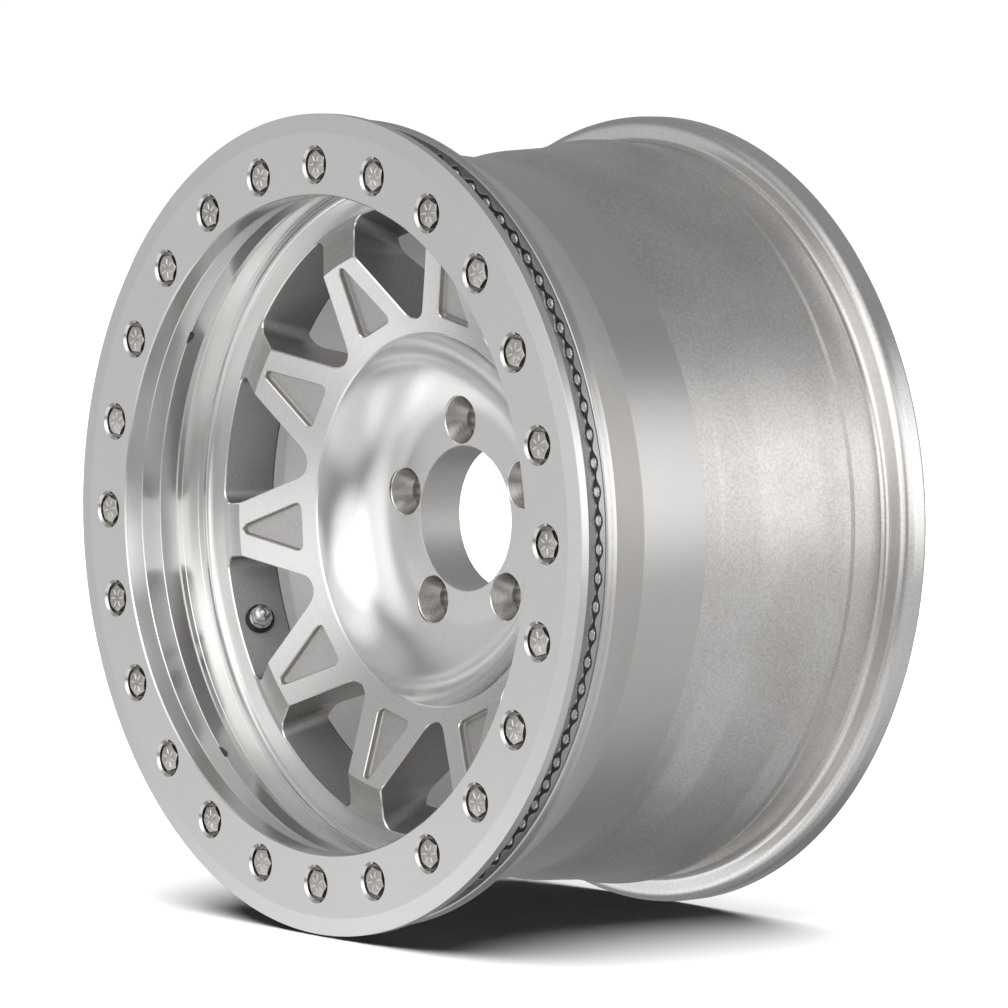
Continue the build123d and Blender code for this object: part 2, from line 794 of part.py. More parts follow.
# Valve cap: hexagonal grip, stepped shoulder and domed tip
cap_cavity_radius = stem_outer_radius + cap_thread_clearance
cap_seal_top = stem_end + cap_seal_thickness
cap_dome = cap_tip_radius / 2
dome_radius = (cap_tip_radius**2 + cap_dome**2) / (2 * cap_dome)
dome_middle = asin(cap_tip_radius / dome_radius) / 2
with BuildPart() as valve_cap:
    with BuildSketch(valve_section):
        with BuildLine():
            Polyline(
                (0, cap_tip),
                (0, cap_seal_top),
                (cap_cavity_radius, cap_seal_top),
                (cap_cavity_radius, cap_bottom),
                (cap_radius, cap_bottom),
                (cap_radius, cap_shoulder - (cap_radius - cap_tip_radius) / 2),
                (cap_tip_radius, cap_shoulder),
                (cap_tip_radius, cap_tip - cap_dome),
            )
            ThreePointArc(
                (cap_tip_radius, cap_tip - cap_dome),
                (
                    dome_radius * sin(dome_middle),
                    cap_tip - dome_radius * (1 - cos(dome_middle)),
                ),
                (0, cap_tip),
            )
        make_face()
    revolve(axis=valve_line)
    with BuildSketch(valve_plane.offset(cap_bottom)):
        RegularPolygon(cap_across_flats / 2, 6, major_radius=False)
    extrude(amount=cap_tip, mode=Mode.INTERSECT)
valve_cap.part.label = "valve_cap"
export_step(valve_cap.part, "parts/valve_cap.step")

with BuildPart() as cap_seal:
    with BuildSketch(valve_plane.offset(stem_end)):
        Circle(cap_cavity_radius - slip_clearance)
        Circle(cap_seal_bore, mode=Mode.SUBTRACT)
    extrude(amount=cap_seal_thickness)
cap_seal.part.label = "cap_seal"
export_step(cap_seal.part, "parts/cap_seal.step")

# Valve core: body, sliding pin, closing spring and poppet seal
collar_bottom = collar_top - collar_height
with BuildPart() as core_body:
    with BuildSketch(valve_section):
        with BuildLine():
            Polyline(
                (core_guide_radius, core_bottom),
                (core_nose_radius, core_bottom),
                (core_nose_radius, core_shoulder),
                (core_radius, core_shoulder),
                (core_radius, core_top),
                (core_guide_radius, core_top),
                (core_guide_radius, core_top - core_cover),
                (core_chamber_radius, core_top - core_cover),
                (core_chamber_radius, core_shoulder + core_cover),
                (core_guide_radius, core_shoulder + core_cover),
                close=True,
            )
        make_face()
    revolve(axis=valve_line)
core_body.part.label = "core_body"
export_step(core_body.part, "parts/core_body.step")

seal_face = core_bottom - core_seal_thickness
pin_bottom = seal_face - poppet_thickness
with BuildPart() as core_pin:
    with BuildSketch(valve_section):
        with BuildLine():
            Polyline(
                (0, pin_bottom),
                (core_seal_radius, pin_bottom),
                (core_seal_radius, seal_face),
                (core_pin_radius, seal_face),
                (core_pin_radius, collar_bottom),
                (collar_radius, collar_bottom),
                (collar_radius, collar_top),
                (core_pin_radius, collar_top),
                (core_pin_radius, pin_top),
                (0, pin_top),
                close=True,
            )
        make_face()
    revolve(axis=valve_line)
core_pin.part.label = "core_pin"
export_step(core_pin.part, "parts/core_pin.step")

with BuildPart() as core_seal:
    with BuildSketch(valve_plane.offset(seal_face)):
        Circle(core_seal_radius)
        Circle(core_pin_radius, mode=Mode.SUBTRACT)
    extrude(amount=core_seal_thickness - core_clearance)
core_seal.part.label = "core_seal"
export_step(core_seal.part, "parts/core_seal.step")

spring_foot = core_shoulder + core_cover + spring_wire_radius
spring_length = collar_bottom - spring_foot - spring_wire_radius
spring_radius = (core_pin_radius + core_chamber_radius) / 2
spring_plane = valve_plane.offset(spring_foot)
with BuildPart() as core_spring:
    with BuildLine() as coil:
        Helix(
            spring_length / spring_turns,
            spring_length,
            spring_radius,
            center=spring_plane.origin,
            direction=valve_axis,
        )
    with BuildSketch(Plane(origin=coil.line @ 0, z_dir=coil.line % 0)):
        Circle(spring_wire_radius)
    sweep(path=coil.line, is_frenet=True)
core_spring.part.label = "core_spring"
export_step(core_spring.part, "parts/core_spring.step")
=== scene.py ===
"""Look of a forged off-road wheel with a bolted bead lock ring, built around its CAD frame.

The wheel stands on a pale studio floor. The spin axis is Y, the street side faces -Y
and +Z is up. Lengths in the size classes are in millimetres; a point on the wheel is
given by its radius from the spin axis, its depth behind the ring's front face and its
angle round the wheel from +X towards +Z.
"""

import json
import logging
import math
from dataclasses import dataclass, field
from enum import Enum
from typing import Sequence

import bmesh
import bpy
import numpy as np
from mathutils import Matrix, Vector
from mathutils.geometry import delaunay_2d_cdt

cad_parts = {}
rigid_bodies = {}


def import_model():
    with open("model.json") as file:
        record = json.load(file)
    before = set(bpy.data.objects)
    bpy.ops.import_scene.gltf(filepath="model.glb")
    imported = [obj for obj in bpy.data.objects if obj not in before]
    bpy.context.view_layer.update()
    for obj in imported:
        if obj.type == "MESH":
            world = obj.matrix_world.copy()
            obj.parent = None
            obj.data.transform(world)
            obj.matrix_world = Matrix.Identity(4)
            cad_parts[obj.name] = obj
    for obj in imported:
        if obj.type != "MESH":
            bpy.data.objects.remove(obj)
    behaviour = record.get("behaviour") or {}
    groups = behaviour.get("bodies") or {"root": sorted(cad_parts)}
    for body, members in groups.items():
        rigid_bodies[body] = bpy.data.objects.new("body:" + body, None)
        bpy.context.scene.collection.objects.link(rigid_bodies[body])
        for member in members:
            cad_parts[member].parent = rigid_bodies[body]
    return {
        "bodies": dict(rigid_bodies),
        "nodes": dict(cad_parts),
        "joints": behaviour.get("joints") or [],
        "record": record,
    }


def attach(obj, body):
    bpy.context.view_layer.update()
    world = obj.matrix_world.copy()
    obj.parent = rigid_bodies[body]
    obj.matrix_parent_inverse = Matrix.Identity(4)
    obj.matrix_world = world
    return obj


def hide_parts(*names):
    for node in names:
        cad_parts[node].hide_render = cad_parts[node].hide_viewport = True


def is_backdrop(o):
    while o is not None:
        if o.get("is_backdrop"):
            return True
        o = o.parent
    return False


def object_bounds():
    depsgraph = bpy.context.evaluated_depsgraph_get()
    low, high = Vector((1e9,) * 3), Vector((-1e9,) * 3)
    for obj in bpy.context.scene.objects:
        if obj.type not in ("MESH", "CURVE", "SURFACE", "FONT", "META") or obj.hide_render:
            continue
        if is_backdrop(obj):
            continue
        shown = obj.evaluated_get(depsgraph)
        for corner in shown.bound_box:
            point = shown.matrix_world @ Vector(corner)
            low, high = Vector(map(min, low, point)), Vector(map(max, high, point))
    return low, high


log = logging.getLogger("wheel")

MM = 0.001
FULL_TURN = 2 * math.pi
TINY = 1e-12

# Share of a corner's room that its fillet takes, so that the fillet's end stays apart from the next point
FULL_FILLET = 0.999

Array = np.ndarray
Socket = bpy.types.NodeSocket


# Sizes


@dataclass(frozen=True)
class Axial:
    """Where the wheel's own depths lie in the frame."""

    face_to_hub: float = 139.0

    def y(self, depth: Array | float) -> Array | float:
        """Return the frame's Y in metres for a depth in millimetres."""
        return (depth - self.face_to_hub) * MM


@dataclass(frozen=True)
class RingSizes:
    """Bead lock ring."""

    outer: float = 232.8
    bore: float = 186.7
    bore_bevel: float = 0.8
    throat: float = 186.2
    throat_depth: float = 12.2
    throat_bevel: float = 0.45
    bevel: float = 222.4
    bevel_drop: float = 1.2
    rim_corner: float = 1.1
    bevel_corner: float = 0.275
    flange_back: float = 7.0
    boss: float = 214.9
    root_fillet: float = 1.6
    joint_inner: float = 191.8
    joint_depth: float = 28.7
    counterbore: float = 9.8
    counterbore_depth: float = 8.8
    counterbore_bevel: float = 1.3
    bolt_hole: float = 5.1


@dataclass(frozen=True)
class BoltSizes:
    """Ring bolts, the places where they sit and the marks on their heads."""

    count: int = 24
    circle: float = 204.0
    first: float = 90.0
    turn_step: float = 37.0
    hex_repeat: float = 60.0
    top_depth: float = 1.0
    mark_inner: float = 2.2
    mark_outer: float = 5.6
    mark_end: float = 0.2
    mark_width: float = 0.95
    mark_height: float = 0.4
    mark_first: float = 30.0
    marks: int = 6


@dataclass(frozen=True)
class BeadWallSizes:
    """Wall that carries the tyre bead, with its grip pattern."""

    pilot: float = 215.2
    outer: float = 229.8
    depth: float = 21.4
    proud: float = 0.03
    corner: float = 1.4
    back: float = 28.5
    parting: float = 25.0
    parting_half: float = 0.3
    groove_depth: float = 0.94
    groove_edge: float = 0.4
    chain_radius: float = 222.3
    chain_half: float = 4.0
    chain_waist: float = 1.15
    chain_links: int = 90
    chain_first: float = 3.25
    eye_half_width: float = 2.0
    eye_half_length: float = 2.95
    knurl_outer: float = 218.3
    knurl_count: int = 720
    knurl_depth: float = 0.22
    knurl_end: float = 0.3
    knurl_gap: float = 0.2
    # Relief in millimetres beyond which a groove face gets the painted shade
    groove_shade_below: float = 0.45


@dataclass(frozen=True)
class BarrelSizes:
    """Outside of the barrel and its rolled rear lip."""

    crease: float = 213.6
    crease_depth: float = 61.4
    crease_half: float = 0.5
    machined_end: float = 208.5
    machined_depth: float = 110.6
    step: float = 0.6
    well: float = 207.6
    well_end_depth: float = 125.0
    blend: float = 22.0
    shoulder: float = 213.2
    shoulder_depth: float = 148.0
    run: float = 216.2
    run_depth: float = 192.0
    seat: float = 218.3
    hump_height: float = 1.6
    hump_start: float = 204.0
    hump_end: float = 209.0
    hump_foot: float = 213.5
    wall_depth: float = 237.0
    wall_lean: float = 1.2
    seat_room: float = 4.5
    seat_fillet: float = 4.32
    lip: float = 233.9
    lip_curl: float = 8.0
    lip_edge: float = 3.2
    width: float = 255.0
    mouth: float = 222.5
    mouth_fillet: float = 4.0
    taper: float = 209.3
    taper_depth: float = 242.0
    inner_run: float = 207.2
    inner_blend: float = 10.0


@dataclass(frozen=True)
class ValveSeatSizes:
    """Counterbore for the flange of the tyre valve, cut from the tyre side."""

    angle: float = 202.5
    lean: float = 25.366
    radius: float = 204.22
    depth: float = 94.88
    hole: float = 5.65
    seat: float = 11.0
    sector: float = 6.0
    spacing: float = 3.0


@dataclass(frozen=True)
class LipSizes:
    """Polished lip between the joint and the spokes."""

    step: float = 192.4
    step_depth: float = 40.8
    bevel: float = 195.2
    bevel_depth: float = 44.3
    bead_depth: float = 47.6
    bead: float = 0.4
    root: float = 197.0
    root_depth: float = 60.6
    floor_corner: float = 197.6
    floor_corner_depth: float = 68.6
    floor_fillet: float = 4.5
    edge: float = 183.0
    edge_depth: float = 69.7
    drain: float = 4.2
    drain_angles: tuple[float, ...] = (47.5, 147.5, 227.5, 327.5)
    drain_margin: float = 1.0
    spacing: float = 3.0


@dataclass(frozen=True)
class SpokeSizes:
    """Spoke faces, windows and pockets."""

    count: int = 10
    first: float = 4.5
    facet: float = 178.5
    facet_depth: float = 69.0
    bend: float = 158.1
    bend_depth: float = 63.0
    half_width: float = 15.9
    outer_half_width: float = 16.4
    outer_run: float = 193.9
    flare: float = 0.328
    bowl_edge: float = 107.7
    bowl_edge_depth: float = 82.9
    bowl_bevel: float = 0.7
    tip_fillet: float = 11.0
    crease_fillet: float = 7.0
    window_front: float = 181.9
    window_back: float = 169.3
    window_back_depth: float = 96.2
    crest: float = 168.4
    crest_depth: float = 95.6
    back_edge: float = 112.0
    back_edge_depth: float = 137.0
    edge_bevel: float = 0.75
    pocket_tip: float = 156.1
    pocket_base: float = 117.7
    pocket_half_width: float = 13.4
    pocket_widening: float = 1.8
    pocket_depth: float = 4.0
    pocket_corner: float = 3.0
    pocket_floor_fillet: float = 1.2
    pocket_bevel: float = 0.5
    crease_half_angle: float = 8.0
    spacing: float = 3.0

    @property
    def slope(self) -> float:
        """Depth gained for each millimetre of radius on the inner facet."""
        return (self.bend_depth - self.bowl_edge_depth) / (self.bend - self.bowl_edge)


@dataclass(frozen=True)
class HubSizes:
    """Dished centre with its lug seats and bore."""

    flat: float = 61.0
    face_depth: float = 109.0
    bore: float = 42.0
    bore_bevel: float = 0.5
    back_depth: float = 139.0
    lug_count: int = 5
    lug_circle: float = 57.15
    lug_first: float = 22.5
    lug_front: float = 14.3
    lug_hole: float = 7.75
    lug_seat_half_angle: float = 30.0
    lug_rings: int = 5
    lug_ring_height: float = 0.02
    lug_bevel: float = 0.5
    spacing: float = 2.2


@dataclass(frozen=True)
class RearSizes:
    """Limits that part the solid wheel from the finer surfaces in front of it.

    The shares say how far a face's normal points along the axis or away from it.
    """

    back_depth: float = 90.0
    back_share: float = 0.3
    slot_start: float = 28.5
    slot_end: float = 34.0
    slot_radius: float = 192.3
    joint_depth: float = 28.6
    joint_share: float = 0.98
    outward_share: float = 0.05
    front_margin: float = 1.0
    outside_margin: float = 2.0
    hub_margin: float = 0.1
    lip_depth: float = 245.5
    shell_radius: float = 200.0
    hole_margin: float = 0.1
    seat_margin: float = 0.3


# Finishes


class Grain(Enum):
    """How a surface was worked."""

    TURNED = "turned"
    FORGED = "forged"
    PLAIN = "plain"
    BLASTED = "blasted"


@dataclass(frozen=True)
class Speckle:
    """A noise pattern: cells per metre and how many finer layers lie on them."""

    scale: float
    detail: float


@dataclass(frozen=True)
class Finish:
    """One surface finish, made into a material by its own node tree.

    Attributes:
        name: name of the material.
        colour: linear base colour.
        stain: colour of the darker clouds in the surface.
        grain: how the surface was worked.
        stain_share: how far the clouds reach, 0 to 1.
        roughness: roughness at the clear places.
        rough_swing: how much the roughness wanders.
        bump_mm: height of the finest relief in millimetres.
        anisotropy: strength of the stretched highlight on a turned face.
        edge_mm: radius of the softened edges on a plain machined piece.
        metallic: 1 for bare metal.
    """

    name: str
    colour: tuple[float, float, float]
    stain: tuple[float, float, float]
    grain: Grain = Grain.PLAIN
    stain_share: float = 0.3
    roughness: float = 0.3
    rough_swing: float = 0.08
    bump_mm: float = 0.004
    anisotropy: float = 0.0
    edge_mm: float = 0.0
    metallic: float = 1.0


RING_SATIN = Finish(
    "ring_satin", (0.82, 0.82, 0.815), (0.70, 0.70, 0.695), Grain.TURNED,
    stain_share=0.25, roughness=0.32, rough_swing=0.05, bump_mm=0.0016, anisotropy=0.45,
)
# Real bevels on the ring, with a painted highlight: a brighter, glossier copy of the ring metal
RING_EDGE_HIGHLIGHT = Finish(
    "ring_edge_painted_highlight", (0.90, 0.90, 0.89), (0.80, 0.80, 0.80), Grain.TURNED,
    stain_share=0.2, roughness=0.14, rough_swing=0.04, bump_mm=0.0005,
)
LIP_POLISH = Finish(
    "lip_polish", (0.93, 0.925, 0.92), (0.80, 0.79, 0.78), Grain.TURNED,
    stain_share=0.35, roughness=0.20, rough_swing=0.06, bump_mm=0.0008, anisotropy=0.65,
)
SPOKE_SATIN = Finish(
    "spoke_satin", (0.78, 0.775, 0.765), (0.62, 0.61, 0.595), Grain.TURNED,
    stain_share=0.4, roughness=0.28, bump_mm=0.0018, anisotropy=0.25,
)
# Real bevels and beads along the edges, with a painted highlight: a brighter, glossier copy of the metal so
# that they show as bright lines
EDGE_PAINTED_HIGHLIGHT = Finish(
    "edge_painted_highlight", (0.95, 0.94, 0.92), (0.85, 0.83, 0.80), Grain.PLAIN,
    stain_share=0.2, roughness=0.20, rough_swing=0.03, bump_mm=0.0008,
)
BOWL_POLISH = Finish(
    "bowl_polish", (0.86, 0.855, 0.85), (0.74, 0.73, 0.72), Grain.TURNED,
    stain_share=0.35, roughness=0.16, rough_swing=0.06, bump_mm=0.0009, anisotropy=0.20,
)
WALL_DARK = Finish(
    "wall_dark", (0.52, 0.508, 0.496), (0.34, 0.33, 0.32), Grain.FORGED,
    stain_share=0.6, roughness=0.50, rough_swing=0.12, bump_mm=0.010,
)
POCKET_MATTE = Finish(
    "pocket_matte", (0.62, 0.605, 0.59), (0.46, 0.447, 0.433), Grain.BLASTED,
    stain_share=0.6, roughness=0.55, rough_swing=0.10, bump_mm=0.020,
)
BORE_MATTE = Finish(
    "bore_matte", (0.76, 0.745, 0.73), (0.60, 0.585, 0.57), Grain.TURNED,
    stain_share=0.4, roughness=0.55, bump_mm=0.003,
)
BARREL_SATIN = Finish(
    "barrel_satin", (0.72, 0.71, 0.70), (0.60, 0.59, 0.58), Grain.TURNED,
    stain_share=0.35, rough_swing=0.06, bump_mm=0.0016, anisotropy=0.30,
)
FLARE_SATIN = Finish(
    "flare_satin", (0.84, 0.825, 0.81), (0.72, 0.70, 0.68), Grain.TURNED,
    stain_share=0.45, rough_swing=0.07, bump_mm=0.0030, anisotropy=0.30,
)
BARREL_FORGED = Finish(
    "barrel_forged", (0.80, 0.78, 0.76), (0.50, 0.475, 0.455), Grain.BLASTED,
    stain_share=0.75, roughness=0.38, rough_swing=0.10, bump_mm=0.020,
)
REAR_LIP = Finish(
    "rear_lip", (0.84, 0.825, 0.81), (0.62, 0.60, 0.58), Grain.BLASTED,
    stain_share=0.55, roughness=0.22, rough_swing=0.07, bump_mm=0.006,
)
BEAD_SATIN = Finish(
    "bead_satin", (0.74, 0.735, 0.73), (0.56, 0.55, 0.54), Grain.TURNED,
    stain_share=0.4, roughness=0.28, rough_swing=0.07, bump_mm=0.0015,
)
GRIP_SATIN = Finish(
    "grip_satin", (0.62, 0.615, 0.605), (0.40, 0.395, 0.385), Grain.PLAIN,
    stain_share=0.5, rough_swing=0.07, bump_mm=0.003,
)
# Painted highlight: a near-white, glossier copy of the grip metal on the link eyes and the band outside the
# chain
GRIP_PAINTED_HIGHLIGHT = Finish(
    "grip_painted_highlight", (0.97, 0.965, 0.955), (0.88, 0.87, 0.86), Grain.PLAIN,
    roughness=0.22, rough_swing=0.06, bump_mm=0.002,
)
# Painted shade: a near-black copy of the grip metal, laid into the chain grooves and the parting groove
# where shade falls
GROOVE_PAINTED_SHADE = Finish(
    "grip_groove_painted_shade", (0.17, 0.168, 0.165), (0.09, 0.088, 0.086), Grain.PLAIN,
    stain_share=0.5, roughness=0.50, rough_swing=0.1,
)
BOLT_STEEL = Finish(
    "bolt_steel", (0.68, 0.65, 0.62), (0.36, 0.335, 0.31), Grain.BLASTED,
    stain_share=0.8, rough_swing=0.10, bump_mm=0.016, edge_mm=0.12,
)
# Painted highlight: the raised grade marks get a near-white steel so that they read brighter than the head
MARK_PAINTED_HIGHLIGHT = Finish(
    "mark_steel_painted_highlight", (0.97, 0.96, 0.94), (0.85, 0.83, 0.80), Grain.PLAIN,
    stain_share=0.2, rough_swing=0.05, bump_mm=0.002,
)
SEAT_TURNED = Finish(
    "seat_turned", (0.80, 0.775, 0.75), (0.52, 0.50, 0.48), Grain.PLAIN,
    stain_share=0.5, roughness=0.24, rough_swing=0.06, bump_mm=0.003,
)
LUG_TURNED = Finish(
    "lug_turned", (0.56, 0.54, 0.52), (0.42, 0.40, 0.38), Grain.PLAIN,
    stain_share=0.4, roughness=0.26, rough_swing=0.05, bump_mm=0.002,
)
INSERT_STEEL = Finish(
    "insert_steel", (0.50, 0.48, 0.45), (0.32, 0.30, 0.28), Grain.PLAIN,
    stain_share=0.5, roughness=0.40, rough_swing=0.1, edge_mm=0.15,
)
VALVE_BRIGHT = Finish(
    "valve_bright", (0.80, 0.79, 0.78), (0.62, 0.61, 0.59), Grain.PLAIN,
    roughness=0.24, rough_swing=0.03, bump_mm=0.0008, edge_mm=0.12,
)
VALVE_NUT = Finish(
    "valve_nut_satin", (0.60, 0.59, 0.58), (0.44, 0.43, 0.42), Grain.PLAIN,
    stain_share=0.4, rough_swing=0.04, bump_mm=0.0010, edge_mm=0.12,
)
CORE_BRASS = Finish(
    "core_brass", (0.72, 0.50, 0.20), (0.48, 0.31, 0.12), Grain.PLAIN,
    roughness=0.28, edge_mm=0.08,
)
SEAL_RUBBER = Finish(
    "seal_rubber", (0.020, 0.020, 0.021), (0.036, 0.035, 0.034), Grain.BLASTED,
    stain_share=0.5, roughness=0.62, bump_mm=0.015, edge_mm=0.35, metallic=0.0,
)


CLOUDS = Speckle(14.0, 5.0)
SPECKS = Speckle(620.0, 3.0)
STREAKS = Speckle(2600.0, 3.0)
RELIEFS = {
    Grain.PLAIN: Speckle(1800.0, 3.0),
    Grain.BLASTED: Speckle(1500.0, 4.0),
    Grain.FORGED: Speckle(420.0, 6.0),
}
CLOUD_RANGE = (0.38, 0.66)
SPECK_RANGE = (0.40, 0.62)
QUARTER_TURN = 0.25
BEVEL_SAMPLES = 4

# Sockets of a mix node that mixes colours
MIX_FIRST, MIX_SECOND, MIX_RESULT = 6, 7, 2


class Nodes:
    """Lays out the nodes of a material or of the surround."""

    def __init__(self, tree: bpy.types.NodeTree) -> None:
        """Keep the tree that the nodes go into."""
        self.tree = tree

    def add(self, kind: str, **settings: object) -> bpy.types.Node:
        """Add a node and set its properties.

        Args:
            kind: Blender's name for the kind of node.
            settings: properties of the node, by name.

        Returns:
            The node.
        """
        made = self.tree.nodes.new(kind)
        for key, value in settings.items():
            setattr(made, key, value)
        return made

    def feed(self, target: Socket, value: object) -> None:
        """Set an input to a value, or join it to another node's output.

        Args:
            target: the input.
            value: a plain value or an output socket.
        """
        if isinstance(value, Socket):
            self.tree.links.new(value, target)
        else:
            target.default_value = value

    def math(self, operation: str, first: object, second: object = 0.0, clamp: bool = False) -> Socket:
        """Add a math node.

        Args:
            operation: what it works out.
            first: first operand, a number or a socket.
            second: second operand, likewise.
            clamp: whether the result is held between 0 and 1.

        Returns:
            The result.
        """
        made = self.add("ShaderNodeMath", operation=operation, use_clamp=clamp)
        self.feed(made.inputs[0], first)
        self.feed(made.inputs[1], second)
        return made.outputs[0]

    def noise(self, speckle: Speckle, coords: Socket) -> Socket:
        """Add a noise texture.

        Args:
            speckle: its fineness.
            coords: where it is read.

        Returns:
            Its value.
        """
        made = self.add("ShaderNodeTexNoise")
        self.feed(made.inputs["Scale"], speckle.scale)
        self.feed(made.inputs["Detail"], speckle.detail)
        self.feed(made.inputs["Vector"], coords)
        return made.outputs[0]

    def ramp(self, value: Socket, low: float, high: float, top: float = 1.0, ease: str = "LINEAR") -> Socket:
        """Spread a value so that low becomes 0 and high becomes the top.

        Args:
            value: the value to spread.
            low: where the ramp starts.
            high: where it ends.
            top: what it reaches.
            ease: Blender's name for the way it rises.

        Returns:
            The spread value.
        """
        made = self.add("ShaderNodeMapRange", interpolation_type=ease)
        settings = {"Value": value, "From Min": low, "From Max": high, "To Max": top}
        for key, setting in settings.items():
            self.feed(made.inputs[key], setting)
        return made.outputs[0]

    def round_axis(self, coords: Socket) -> Socket:
        """Keep only radius and depth of coordinates, so that a pattern runs round the wheel.

        Args:
            coords: coordinates in the frame.

        Returns:
            Coordinates of radius and depth.
        """
        split = self.add("ShaderNodeSeparateXYZ")
        self.feed(split.inputs[0], coords)
        x, y, z = split.outputs
        squares = self.math("ADD", self.math("MULTIPLY", x, x), self.math("MULTIPLY", z, z))
        made = self.add("ShaderNodeCombineXYZ")
        self.feed(made.inputs["X"], self.math("SQRT", squares))
        self.feed(made.inputs["Y"], y)
        return made.outputs[0]

    def background(self, strength: object, colour: tuple[float, ...]) -> Socket:
        """Add a background shader.

        Args:
            strength: its brightness, a number or a socket.
            colour: its colour.

        Returns:
            The shader.
        """
        made = self.add("ShaderNodeBackground")
        self.feed(made.inputs["Color"], colour)
        self.feed(made.inputs["Strength"], strength)
        return made.outputs[0]

    def mix(self, share: Socket, first: Socket, second: Socket) -> Socket:
        """Mix two shaders.

        Args:
            share: how much of the second there is.
            first: the first shader.
            second: the second shader.

        Returns:
            The mixture.
        """
        made = self.add("ShaderNodeMixShader")
        for target, source in zip(made.inputs, (share, first, second)):
            self.feed(target, source)
        return made.outputs[0]


def make_material(finish: Finish) -> bpy.types.Material:
    """Build the procedural material of one finish.

    Broad clouds stain the base colour, finer ones move the roughness, and the
    relief is tool lines round the axis on turned metal, pits on blasted metal and
    scale on forged metal.

    Args:
        finish: the finish to build.

    Returns:
        The Blender material.
    """
    material = bpy.data.materials.new(finish.name)
    material.use_nodes = True
    nodes = Nodes(material.node_tree)
    surface = material.node_tree.nodes["Principled BSDF"].inputs
    coords = nodes.add("ShaderNodeTexCoord").outputs["Object"]
    turned = finish.grain is Grain.TURNED
    streaks = nodes.noise(STREAKS, nodes.round_axis(coords) if turned else coords)
    clouds = nodes.ramp(nodes.noise(CLOUDS, coords), *CLOUD_RANGE)
    specks = nodes.ramp(nodes.noise(SPECKS, coords), *SPECK_RANGE)
    mixed = nodes.math("MULTIPLY", nodes.math("ADD", clouds, specks), finish.stain_share / 2)
    colour = nodes.add("ShaderNodeMix", data_type="RGBA")
    nodes.feed(colour.inputs[0], mixed)
    nodes.feed(colour.inputs[MIX_FIRST], (*finish.colour, 1.0))
    nodes.feed(colour.inputs[MIX_SECOND], (*finish.stain, 1.0))
    nodes.feed(surface["Base Color"], colour.outputs[MIX_RESULT])
    swing = nodes.math("MULTIPLY", nodes.math("SUBTRACT", streaks, 0.5), 2 * finish.rough_swing)
    nodes.feed(surface["Roughness"], nodes.math("ADD", swing, finish.roughness))
    nodes.feed(surface["Metallic"], finish.metallic)
    bump = nodes.add("ShaderNodeBump")
    nodes.feed(bump.inputs["Strength"], 1.0)
    nodes.feed(bump.inputs["Distance"], finish.bump_mm * MM)
    nodes.feed(bump.inputs["Height"], streaks if turned else nodes.noise(RELIEFS[finish.grain], coords))
    if finish.edge_mm:
        bevel = nodes.add("ShaderNodeBevel", samples=BEVEL_SAMPLES)
        nodes.feed(bevel.inputs["Radius"], finish.edge_mm * MM)
        nodes.feed(bump.inputs["Normal"], bevel.outputs[0])
    nodes.feed(surface["Normal"], bump.outputs[0])
    if finish.anisotropy:
        tangent = nodes.add("ShaderNodeTangent", direction_type="RADIAL", axis="Y")
        nodes.feed(surface["Anisotropic"], finish.anisotropy)
        nodes.feed(surface["Anisotropic Rotation"], QUARTER_TURN)
        nodes.feed(surface["Tangent"], tangent.outputs[0])
    return material


@dataclass
class Workshop:
    """Keeps one material per finish."""

    made: dict[Finish, bpy.types.Material] = field(default_factory=dict)

    def material(self, finish: Finish) -> bpy.types.Material:
        """Return the finish's material, made on first use.

        Args:
            finish: the finish.

        Returns:
            Its material.
        """
        if finish not in self.made:
            self.made[finish] = make_material(finish)
        return self.made[finish]


# Plane and space


def unit(vectors: Array) -> Array:
    """Scale vectors on the last axis to length one."""
    return vectors / np.maximum(np.linalg.norm(vectors, axis=-1, keepdims=True), TINY)


def circle(angles: Array) -> Array:
    """Return the plane unit vectors at angles in radians."""
    return np.stack([np.cos(angles), np.sin(angles)], axis=-1)


def full_circle(count: int) -> Array:
    """Return plane unit vectors spaced evenly all the way round."""
    return circle(np.radians(np.arange(count) * (360 / count)))


def spatial(plane: Array, along: Array | float) -> Array:
    """Join coordinates in X and Z on the last axis with coordinates along the spin axis."""
    return np.stack([plane[..., 0], np.broadcast_to(along, plane.shape[:-1]), plane[..., 1]], axis=-1)


def rotated(plane: Array, angle: float) -> Array:
    """Turn plane points about the axis by degrees."""
    c, s = circle(math.radians(angle))
    return plane @ np.array([[c, s], [-s, c]])


def spin(vectors: Array, angle: float) -> Array:
    """Turn rows of vectors about the spin axis, from +X towards +Z, by degrees."""
    return spatial(rotated(vectors[:, ::2], angle), vectors[:, 1])


def soft_step(share: Array) -> Array:
    """Ease from 0 to 1 by the cubic that is level at both ends."""
    held = np.clip(share, 0.0, 1.0)
    return held * held * (3 - 2 * held)


def straight(start: tuple[float, float], end: tuple[float, float], pieces: int = 6) -> Array:
    """Return evenly spaced section points from start to end."""
    share = np.linspace(0.0, 1.0, pieces + 1)[:, None]
    return np.asarray(start) * (1 - share) + np.asarray(end) * share


def inside(points: Array, outline: Array) -> Array:
    """Tell which points lie inside a closed plane outline, by counting crossings.

    Args:
        points: the points, one row each.
        outline: corners of the outline in order.

    Returns:
        True for each point inside.
    """
    x, y = points[:, 0][:, None], points[:, 1][:, None]
    ax, ay = outline[:, 0][None], outline[:, 1][None]
    bx, by = np.roll(ax, -1), np.roll(ay, -1)
    spans = (ay > y) != (by > y)
    with np.errstate(divide="ignore", invalid="ignore"):
        crossing = ax + (y - ay) * (bx - ax) / (by - ay)
    return ((spans & (x < crossing)).sum(axis=1) % 2).astype(bool)


def mirrored(half: Array) -> Array:
    """Close a half outline that starts and ends on the X axis by its mirror image."""
    return np.concatenate([half, (half[1:-1] * [1.0, -1.0])[::-1]])


